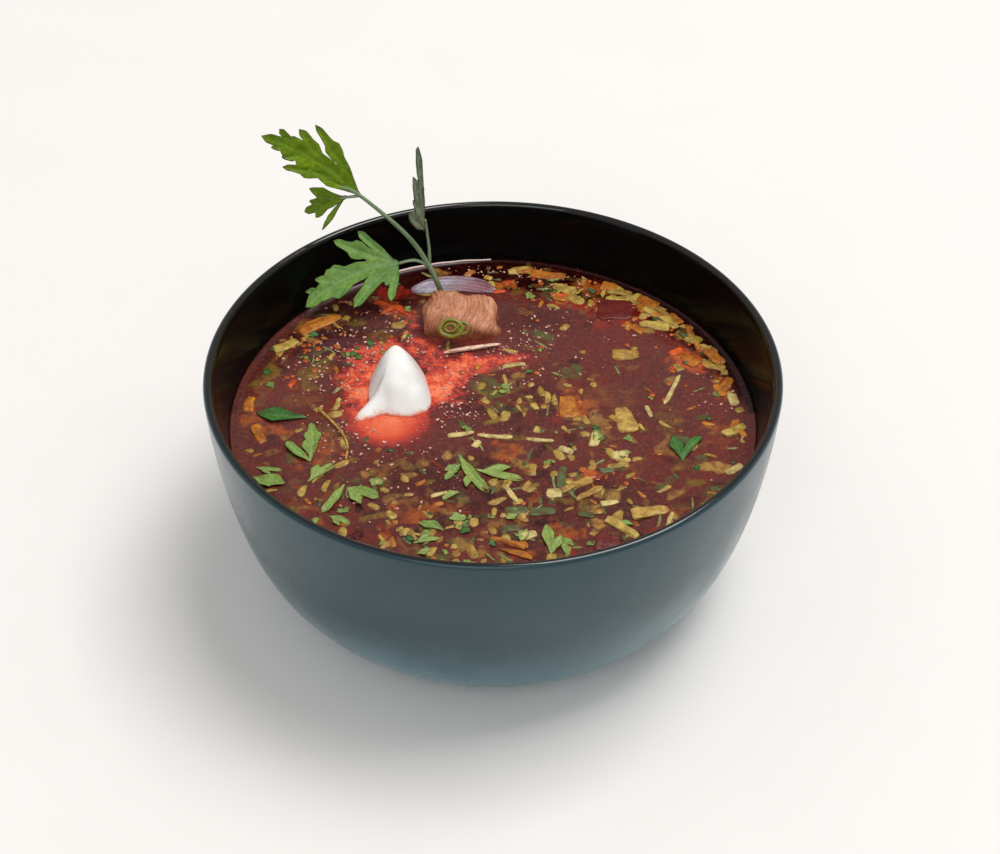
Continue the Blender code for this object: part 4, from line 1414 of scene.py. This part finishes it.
def leaf_sheet(shape, cup, arch, spacing=0.7, quilt=0.12, seed=0.0):
    """Points, faces and marks of a leaf that starts at the origin and runs along +X."""
    lobes = []
    for row in shape:
        lobes.append(Lobe(lobes[0] if lobes else None, *row))
    points, outlines, shapes = [], [], []
    for lobe in lobes:
        outline = lobe.outline()
        outlines.append(list(range(len(points), len(points) + len(outline))))
        points.extend(outline)
        shapes.append(outline)
    low_x, high_x = min(p.x for p in points), max(p.x for p in points)
    low_y, high_y = min(p.y for p in points), max(p.y for p in points)
    row = 0
    at_y = low_y
    while at_y < high_y:
        at_x = low_x + (0.5 * spacing if row % 2 else 0.0)
        while at_x < high_x:
            p = Vector((at_x, at_y))
            if any(inside(p, s) for s in shapes):
                points.append(p)
            at_x += spacing
        at_y += spacing * 0.87
        row += 1
    merged = geometry.delaunay_2d_cdt(points, [], outlines, 1, 0.02)
    flat, faces = merged[0], [list(t) for t in merged[2]]
    used = sorted({i for t in faces for i in t})
    index = {old: new for new, old in enumerate(used)}
    faces = [[index[i] for i in t] for t in faces]
    flat = [flat[i] for i in used]
    edges = {}
    for t in faces:
        for a, b in ((t[0], t[1]), (t[1], t[2]), (t[2], t[0])):
            key = (min(a, b), max(a, b))
            edges[key] = edges.get(key, 0) + 1
    border = {i for key, n in edges.items() if n == 1 for i in key}
    veins, out = [], []
    main = lobes[0].length
    for p in flat:
        strength, valley = 0.0, 1.0
        for lobe in lobes:
            gap, share = lobe.gap(p)
            width = 0.016 * lobe.length * (1.1 - share) ** 0.5 + 0.10
            strength = max(strength, math.exp(-((gap / width) ** 2)))
            valley = min(valley, gap / max(lobe.half_width * 0.5, 0.1))
            for k in range(2, 6):
                root = lobe.rib(0.16 * k + 0.05)
                for sign in (-1, 1):
                    end = root + (lobe.along * 0.75 + lobe.across * sign * 0.66) * lobe.half_width
                    near, reach = to_segment(p, root, end)
                    strength = max(strength, 0.5 * (1 - 0.5 * reach) * math.exp(-((near / 0.22) ** 2)))
        veins.append(strength)
        z = cup * abs(p.y) - arch * p.x * p.x / main
        z += quilt * (min(valley, 1.0) - 0.5) - 0.6 * quilt * strength
        z += 0.7 * quilt * noise.noise(Vector((p.x * 0.35, p.y * 0.35, seed)))
        out.append(Vector((p.x, p.y, z)))
    rim = [float(i in border) for i in range(len(out))]
    return out, faces, {"vein": veins, "rim": rim}


def heading_to(turn, rise=0.0):
    """A direction turned about Z by turn degrees, and as much higher as rise says."""
    angle = math.radians(turn)
    return Vector((math.cos(angle), math.sin(angle), rise))


def leaf_matrix(base, heading, facing=(0, 0, 1)):
    """Lay a leaf with its stalk at base, its rib along heading and its face to facing."""
    forward = Vector(heading).normalized()
    sideways = Vector(facing).cross(forward).normalized()
    turning = Matrix((forward, sideways, forward.cross(sideways))).transposed().to_4x4()
    return Matrix.Translation(base) @ turning

# %% Leaf and stem finishes


def make_leaf_finish(name, deep, bright, vein, rim, gloss=(0.30, 0.50), stained=0.0):
    material, tree, shader = new_material(name)
    grain = attribute(tree, "grain", "Vector")
    cells = mottled(tree, grain, 1.1)
    patch = mottled(tree, grain, 0.16, 3.0)
    share = maths(tree, "ADD", maths(tree, "MULTIPLY", patch["Mask"], 0.45),
                  maths(tree, "MULTIPLY", attribute(tree, "tone"), 0.55))  # fmt: skip
    colour = mix(tree, share, deep, bright)
    colour = veil(tree, cells["Mask"], 0.40, colour, tuple(c * 0.6 for c in deep))
    veins = attribute(tree, "vein")
    colour = veil(tree, veins, 0.75, colour, vein)
    edge = span(tree, attribute(tree, "rim"), 0.25, 1.0, 0.0, 0.8)
    colour = mix(tree, edge, colour, rim)
    if stained:
        colour = soaked(tree, colour, 0.9, stained)
    shader.inputs["Specular IOR Level"].default_value = 0.2
    first = bump(tree, cells["Height"], 0.25, 0.12)
    dress(tree, shader, colour, (grain, 0.4, *gloss), bump(tree, veins, 0.4, 0.12, first))
    return material


fresh_leaf = make_leaf_finish(
    "fresh parsley", (0.055, 0.125, 0.002), (0.215, 0.335, 0.005), (0.165, 0.280, 0.016),
    (0.060, 0.060, 0.024),
)  # fmt: skip
grown_leaf = make_leaf_finish(
    "older parsley", (0.070, 0.210, 0.040), (0.280, 0.440, 0.075), (0.220, 0.390, 0.150),
    (0.045, 0.070, 0.028),
)  # fmt: skip
folded_leaf = make_leaf_finish(
    "parsley underside", (0.060, 0.100, 0.045), (0.330, 0.400, 0.250), (0.360, 0.430, 0.300),
    (0.060, 0.070, 0.045),
)  # fmt: skip
floating_leaf = make_leaf_finish(
    "floating parsley", (0.070, 0.220, 0.040), (0.340, 0.460, 0.100), (0.400, 0.520, 0.180),
    (0.170, 0.190, 0.040), (0.20, 0.45), 0.35,
)  # fmt: skip
soaked_leaf = make_leaf_finish(
    "soaked parsley", (0.010, 0.045, 0.012), (0.080, 0.260, 0.048), (0.130, 0.260, 0.090),
    (0.012, 0.050, 0.016), (0.06, 0.16), 0.15,
)  # fmt: skip


def make_stem_finish():
    material, tree, shader = new_material("parsley stem")
    grain = attribute(tree, "grain", "Vector")
    ribs = fibrous(tree, grain, (3.0, 3.0, 0.15), 0.2)
    colour = mix(tree, ribs["Mask"], (0.130, 0.210, 0.105), (0.290, 0.400, 0.230))
    colour = soaked(tree, colour, 9.0, 0.85, (0.100, 0.085, 0.012))
    relief = bump(tree, ribs["Height"], 0.35, 0.15)
    dress(tree, shader, colour, (grain, 0.6, 0.28, 0.45), relief)
    return material

# %% The standing sprig
STEM_RADIUS = 0.9
FOOT_SPOT, FORK_LOW, BEND, FORK_HIGH = (
    Vector((-14.2, 55.2, 49.0)), Vector((-19.2, 56.4, 62.6)),
    Vector((-26.2, 58.0, 73.5)), Vector((-39.4, 60.0, 86.0)),
)  # fmt: skip
LOW_LEAF, SIDE_LEAF, SMALL_LEAF = (
    Vector((-28.6, 54.0, 66.3)), Vector((-20.2, 57.6, 75.0)), Vector((-43.4, 60.2, 85.6)),
)  # fmt: skip
# direction, length, half width, root on the first lobe's rib, teeth, bend
TOP_SHAPE = (
    (0, 34.5, 4.3, 0, 3, -2.3), (16, 20.5, 2.3, 0.14, 2, -0.9), (-26, 24.6, 2.4, 0.02, 2, -0.7),
    (-23, 13.4, 2.1, 0.40, 1, -0.4), (-16, 8.6, 1.7, 0.66, 1, 0), (36, 7.6, 1.6, 0.58, 0, 0),
    (34, 5.6, 1.2, 0.74, 0, 0), (4, 16, 2.2, 0.02, 0, 0),
)  # fmt: skip
SMALL_SHAPE = (
    (0, 14.0, 2.7, 0, 2, 0), (-33, 11.0, 2.0, 0.06, 0, 0.6), (36, 11.8, 0.95, 0.06, 0, 0),
    (-30, 5.0, 1.2, 0.50, 0, 0), (30, 5.6, 1.3, 0.45, 0, 0),
)  # fmt: skip
LOW_SHAPE = (
    (0, 31, 5.0, 0, 2, -2.6), (-45, 20.8, 3.0, 0, 2, 0.7), (-66, 15.2, 2.1, 0.02, 1, 0.5),
    (-40, 7.8, 1.8, 0.42, 1, 0), (-32, 7.4, 1.6, 0.60, 0, 0), (-24, 6.0, 1.2, 0.76, 0, 0),
    (22, 19.5, 3.0, 0, 1, -0.8), (44, 10.0, 1.8, 0.20, 0, 0), (56, 13.0, 2.1, 0, 1, 0),
    (34, 8.2, 1.8, 0.46, 0, 0), (30, 7.0, 1.5, 0.62, 0, 0), (-20, 11, 3.0, 0, 0, 0),
    (40, 8.5, 2.6, 0, 0, 0), (14, 11, 2.8, 0, 0, 0),
)  # fmt: skip
SIDE_SHAPE = (
    (-1, 28.5, 2.0, 0, 1, 0.9), (10, 21.0, 2.6, 0, 1, 0.6), (40, 13.5, 2.9, 0.02, 1, 0),
    (22, 13, 2.4, 0.05, 0, 0),
)  # fmt: skip
SPRIG_LEAVES = (
    (FORK_HIGH, (-0.80, 0.0, 0.60), (-0.1, -0.80, 0.60), TOP_SHAPE, 0.08, 0.03, 0.80, fresh_leaf),
    (SMALL_LEAF, (-0.93, -0.05, -0.36), (-0.1, -0.80, 0.60), SMALL_SHAPE, 0.08, 0.05, 0.70, fresh_leaf),
    (LOW_LEAF, (-0.90, -0.32, -0.30), (-0.2, -0.62, 0.78), LOW_SHAPE, 0.08, 0.05, 0.55, grown_leaf),
    (SIDE_LEAF, (-0.05, 0.05, 1.0), (0.78, -0.62, 0.0), SIDE_SHAPE, 0.25, 0.03, 0.40, folded_leaf),
)


def smooth_route(points, steps=10):
    """A smooth line through the points."""
    route = []
    for i in range(len(points) - 1):
        before = points[max(i - 1, 0)]
        a, b = points[i], points[i + 1]
        after = points[min(i + 2, len(points) - 1)]
        for j in range(steps):
            t = j / steps
            route.append(
                0.5 * (2 * a + (b - before) * t + (2 * before - 5 * a + 4 * b - after) * t * t
                       + (3 * a - before - 3 * b + after) * t**3)
            )  # fmt: skip
    return route + [points[-1]]


def tube(route, start_radius, end_radius, sides=14):
    """A ribbed, tapering tube along the route, with the place along it as its grain."""
    points, grain = [], []
    far = 0.0
    for i, point in enumerate(route):
        along = (route[min(i + 1, len(route) - 1)] - route[max(i - 1, 0)]).normalized()
        across = along.cross(Vector((0, 1, 0))).normalized()
        around = along.cross(across)
        if i:
            far += (point - route[i - 1]).length
        share = i / (len(route) - 1)
        radius = start_radius + (end_radius - start_radius) * share
        for side in range(sides):
            angle = 2 * math.pi * side / sides
            rib = 1.0 + 0.07 * math.cos(5 * angle)
            offset = across * math.cos(angle) + around * math.sin(angle)
            points.append(point + offset * radius * rib)
            grain.append((radius * math.cos(angle), radius * math.sin(angle), far))
    faces = band_faces(len(route), sides)
    faces.append(tuple(reversed(range(sides))))
    faces.append(tuple(range((len(route) - 1) * sides, len(route) * sides)))
    return points, faces, grain


def make_stems():
    side_joint, low_joint = Vector((-19.2, 57.2, 69.0)), Vector((-24.0, 55.6, 65.6))
    runs = (
        ([FOOT_SPOT, FORK_LOW, BEND, FORK_HIGH, FORK_HIGH + Vector((-6.0, -0.2, 3.4))], 1.0, 0.5),
        ([FORK_LOW, low_joint, LOW_LEAF + Vector((-4.0, -1.3, -1.5))], 0.62, 0.42),
        ([FORK_LOW, side_joint, SIDE_LEAF + Vector((0, 0.1, 4.0))], 0.62, 0.40),
        ([FORK_HIGH, SMALL_LEAF + Vector((-2.0, 0, -0.6))], 0.55, 0.40),
    )
    verts, faces, grain = [], [], []
    for route, thick, thin in runs:
        points, sides, places = tube(smooth_route(route), thick * STEM_RADIUS, thin * STEM_RADIUS)
        start = len(verts)
        verts.extend(points)
        grain.extend(places)
        faces.extend([i + start for i in face] for face in sides)
    finish_piece("parsley_stems", verts, faces, make_stem_finish(),
                 ["parsley_sprig"], {"grain": grain})  # fmt: skip


def add_leaf(batch, sheet, matrix, tone):
    points, faces, marks = sheet
    batch.add(points, faces, matrix, tone, **marks)


def make_sprig_leaves():
    for i, (base, heading, facing, shape, cup, arch, tone, material) in enumerate(SPRIG_LEAVES):
        batch = Batch()
        sheet = leaf_sheet(shape, cup, arch, 0.6, 0.5, i * 7.0)
        add_leaf(batch, sheet, leaf_matrix(base, heading, facing), tone)
        batch.finish("sprig_leaf_" + "abcd"[i], material, "parsley_fresh", thick=0.35)


make_stems()
make_sprig_leaves()

# %% Loose leaves
# what it stands for: base, heading, shape, tone, pitch, finish
LOOSE_LEAVES = {
    "parsley_leaf_left_dark": (
        (-52.8, -1.2), 172, ((0, 14.6, 3.2, 0, 0, 0.5),), 0.75, 2, soaked_leaf),
    "parsley_leaf_left_light": (
        (-50.4, -19.6), 93, ((0, 15.8, 2.5, 0, 2, -0.6), (42, 10.0, 2.1, 0, 1, 0.4),
                             (14, 7, 1.8, 0.1, 0, 0)), 0.60, 3, floating_leaf),
    "parsley_leaf_middle": (
        (-9.4, -17.0), -62, ((0, 17.4, 2.5, 0, 1, -0.8), (-36, 6.5, 1.2, 0.45, 0, 0)), 0.95, 2,
        floating_leaf),
    "parsley_leaf_right": (
        (52.1, -19.6), 58, ((0, 12.0, 1.9, 0, 1, 0.8), (46, 9.0, 2.1, 0.05, 0, 0)), 1.0, 3, soaked_leaf),
    "parsley_leaf_far_left": (
        (-65.4, -26.2), -18, ((0, 9.4, 2.4, 0, 0, 0), (-22, 6.5, 1.6, 0, 0, 0)), 0.85, 4, floating_leaf),
    "parsley_leaf_low_left": (
        (-40.4, -29.0), 245, ((0, 12.8, 2.0, 0, 1, 0.5),), 1.0, 3, floating_leaf),
    "parsley_leaf_front_left": (
        (-39.6, -30.6), -24, ((0, 9.6, 2.7, 0, 1, 0.4), (-34, 8.0, 1.7, 0, 0, 0)), 0.70, 2, floating_leaf),
    "parsley_leaf_front": (
        (15.2, -56.0), 96, ((0, 11.0, 1.8, 0, 0, 0), (-30, 7.0, 1.4, 0, 0, 0)), 1.0, 4, floating_leaf),
    "parsley_leaf_front_dark": (
        (-13.0, -46.9), 158, ((0, 7.6, 1.6, 0, 0, 0), (-14, 5.5, 1.2, 0, 0, 0)), 0.55, 2, floating_leaf),
}  # fmt: skip
# small ones without a solid of their own: base, heading, length, half width, tone
SMALL_LEAVES = (
    ((-50.4, -28.2), 47, 10.4, 2.0, 0.80), ((-43.8, -41.6), -30, 6.8, 1.5, 0.85),
    ((-65.2, -22.2), -10, 7.6, 1.3, 0.70), ((-8.6, -20.6), -124, 8.0, 1.8, 0.35),
    ((-4.6, -23.2), -17, 13.6, 2.2, 1.00), ((-11.8, -42.6), 6, 4.8, 2.0, 0.75),
    ((-21.0, -51.9), 12, 7.4, 1.3, 0.90), ((17.6, -48.5), -74, 8.4, 1.5, 0.95),
    ((31.6, -42.6), -46, 8.8, 1.2, 0.90), ((-9.0, -32.4), -150, 5.4, 1.4, 0.80),
    ((28.2, -12.4), 84, 6.0, 1.6, 0.85), ((8.9, -46.6), -110, 4.8, 1.8, 0.90),
    ((-20.0, -56.0), 30, 4.2, 1.4, 0.80), ((33.8, -17.6), 20, 4.6, 1.6, 0.85),
)  # fmt: skip


def make_loose_leaves():
    for i, (node, (base, turn, shape, tone, pitch, material)) in enumerate(LOOSE_LEAVES.items()):
        batch = Batch()
        sheet = leaf_sheet(shape, 0.10, 0.05, 0.45, 0.35, i * 3.0)
        heading = heading_to(turn, math.sin(math.radians(pitch)))
        add_leaf(batch, sheet, leaf_matrix(Vector((*base, LEVEL + 0.14)), heading), tone)
        batch.finish(node + "_wilted", material, "parsley_floating", [node], 0.25)


def make_small_leaves():
    batch = Batch()
    for base, turn, length, half_width, tone in SMALL_LEAVES:
        heading = heading_to(turn, random.uniform(0.0, 0.04))
        shape = ((0, length, half_width, 0, 1, random.uniform(-0.5, 0.5)),
                 (random.choice((-26, 26)), length * 0.62, half_width * 0.7, 0.1, 0, 0))  # fmt: skip
        sheet = leaf_sheet(shape, 0.08, 0.05, 0.45, 0.25, base[0])
        add_leaf(batch, sheet, leaf_matrix(Vector((*base, LEVEL + 0.12)), heading), tone)
    batch.finish("small_leaves", floating_leaf, "parsley_floating", (), 0.25)


make_loose_leaves()
make_small_leaves()

# %% Flakes of herb


def make_flakes(name, material, count, lengths):
    """Torn scraps of leaf: one lobe, and often a second one at its side."""
    batch = Batch()
    for spot in scattered_spots(count):
        length = random.uniform(*lengths)
        shape = [(0, length, length * random.uniform(0.30, 0.50), 0, 0, random.uniform(-0.2, 0.2))]
        if random.random() < 0.6:
            side = random.choice((-1, 1)) * random.uniform(30, 80)
            shape.append((side, length * random.uniform(0.5, 0.9), length * 0.26, 0, 0, 0))
        sheet = leaf_sheet(shape, 0.05, 0.05, 0.7, 0.10, spot[0])
        heading = heading_to(random.uniform(0, 360), random.uniform(-0.05, 0.05))
        base = Vector((*spot, LEVEL + random.uniform(-0.04, 0.12)))
        add_leaf(batch, sheet, leaf_matrix(base, heading), random.uniform(0.0, 0.8))
    batch.finish(name, material, "parsley_floating", (), 0.15)


make_flakes("herb_flakes", floating_leaf, 38, (1.6, 4.4))
make_flakes("herb_flakes_dark", soaked_leaf, 34, (1.4, 3.8))

# %% [markdown]
# ## Curd and fat
# Where cream meets hot sour broth it curdles into pale crumbs, and fat rises as small drops
# that gather along the wall. Both are real lumps on the surface, seeded, one mesh per kind.

# %% Curd crumbs, drops of fat and a painted meniscus glint


def make_plain_wet(name, dark, light, rough):
    material, tree, shader = new_material(name)
    grain = attribute(tree, "grain", "Vector")
    patch = mottled(tree, grain, 1.2, 3.0)
    share = maths(tree, "ADD", maths(tree, "MULTIPLY", patch["Mask"], 0.4),
                  maths(tree, "MULTIPLY", attribute(tree, "tone"), 0.6))  # fmt: skip
    relief = bump(tree, patch["Height"], 0.2, 0.1)
    dress(tree, shader, mix(tree, share, dark, light), (grain, 1.5, *rough), relief)
    return material


def near(centres):
    """A seeded spot close to one of the centres: (middle, spread)."""
    middle, spread = random.choice(centres)
    return (random.gauss(middle[0], spread[0]), random.gauss(middle[1], spread[1]))


def make_crumbs(count):
    curd = make_plain_wet("curdled cream", (0.55, 0.20, 0.15), (0.88, 0.58, 0.46), (0.2, 0.4))
    # The thin zone along the back wall at (6, 69) lines crumbs up on the meniscus: partly real crumbs,
    # partly a painted highlight that carries the meniscus glint on.
    zones = (
        ((-46, 22), (7, 9)), ((-44, 4), (5, 8)), ((-12, 4), (4, 5)), ((-8, -2), (8, 4)),
        ((-30, -18), (9, 5)), ((20, 62), (16, 4)), ((44, 48), (12, 8)), ((4, 22), (10, 5)),
        ((-40, 34), (8, 6)), ((66, 10), (4, 16)), ((-20, -30), (12, 8)), ((20, 30), (22, 14)),
        ((-27, 26), (12, 6)), ((-11, 14), (5, 7)), ((-40, 12), (4, 9)), ((6, 69), (12, 1.5)),
        ((-32, 44), (8, 6)), ((14, 40), (8, 6)), ((-44, -6), (5, 6)), ((20, 66), (12, 3)),
        ((2, 30), (7, 2.5)), ((-21, 33), (5, 3)), ((8, 36), (5, 5)), ((-50, 18), (6, 8)),
    )  # fmt: skip
    batch, left = Batch(), count
    while left:
        spot = near(zones)
        if math.hypot(*spot) > FLOAT_REACH + 0.5 or in_cream(spot, -2.0) or in_beef(spot):
            continue
        wide = random.choice((0.22, 0.3, 0.4, 0.62))
        size = (wide * random.uniform(1.0, 2.0), wide, wide * 0.7)
        points, faces = lump(size, random.uniform(0, 90), 2, 2.4, 0.0, 0.0, 0.5)
        matrix = standing(spot, LEVEL + 0.02, random.uniform(0, 180))
        batch.add(points, faces, matrix, random.random())
        left -= 1
    batch.finish("curd_crumbs", curd, "sour_cream")


def make_fat_drops(count):
    fat = make_plain_wet("drops of fat", (0.26, 0.020, 0.006), (0.60, 0.16, 0.020), (0.04, 0.08))
    batch = Batch()
    spots = [(26.5, -25.0, 2.1), (24.6, -23.2, 1.1), (28.4, -26.6, 0.9)]
    while len(spots) < count:
        spot = near((((30, 60), (20, 6)), ((60, 30), (8, 14)), ((0, 0), (40, 40)), ((-55, 30), (8, 10))))
        if math.hypot(*spot) < FLOAT_REACH and not in_cream(spot) and not in_beef(spot):
            spots.append((*spot, random.uniform(0.3, 0.9)))
    for x, y, radius in spots:
        points, faces = lump((2 * radius, 2 * radius, 0.5 * radius), radius, 5, 2.0, 0.0, 0.0, 0.08)
        batch.add(points, faces, standing((x, y), LEVEL - 0.02), random.random())
    batch.finish("fat_drops", fat, "broth")


def make_meniscus_glint(first, last, radius, colour):
    """A thin pale tube where the broth meets the back wall: a painted highlight for the glint on the
    meniscus there.
    """
    reach = next(inner_point(t, 0.35).x for t in wall_turns(401) if inner_point(t).y > LEVEL + 0.4)
    stops = [first + (last - first) * i / 8 for i in range(9)]
    route = [Vector((reach * math.cos(math.radians(a)), reach * math.sin(math.radians(a)),
                     LEVEL + 0.5 + 0.15 * math.sin(a))) for a in stops]  # fmt: skip
    points, faces, _ = tube(smooth_route(route), radius, radius * 0.6)
    glint_finish = make_plain_wet("glint_finish", colour, (0.95, 0.80, 0.72), (0.15, 0.3))
    batch = Batch()
    batch.add(points, faces, Matrix(), 0.6)
    batch.finish("meniscus_glint_line", glint_finish, "sour_cream")


make_meniscus_glint(116.0, 90.5, 0.40, (0.80, 0.50, 0.42))
make_crumbs(820)
make_fat_drops(110)

# %% Thin stalk
STALK_ROUTE = ((-49.5, 2.2), (-45.8, -2.6), (-42.0, -8.6), (-40.4, -14.0), (-40.6, -19.0))


def make_thin_stalk():
    """A curved stalk that lies on the surface left of the cream."""
    route = smooth_route([Vector((x, y, LEVEL + 0.1)) for x, y in STALK_ROUTE])
    points, faces, _ = tube(route, 0.50, 0.34)
    batch = Batch()
    batch.add(points, faces, Matrix(), 0.5)
    batch.finish("thin_stalk", potato, "cabbage")


make_thin_stalk()
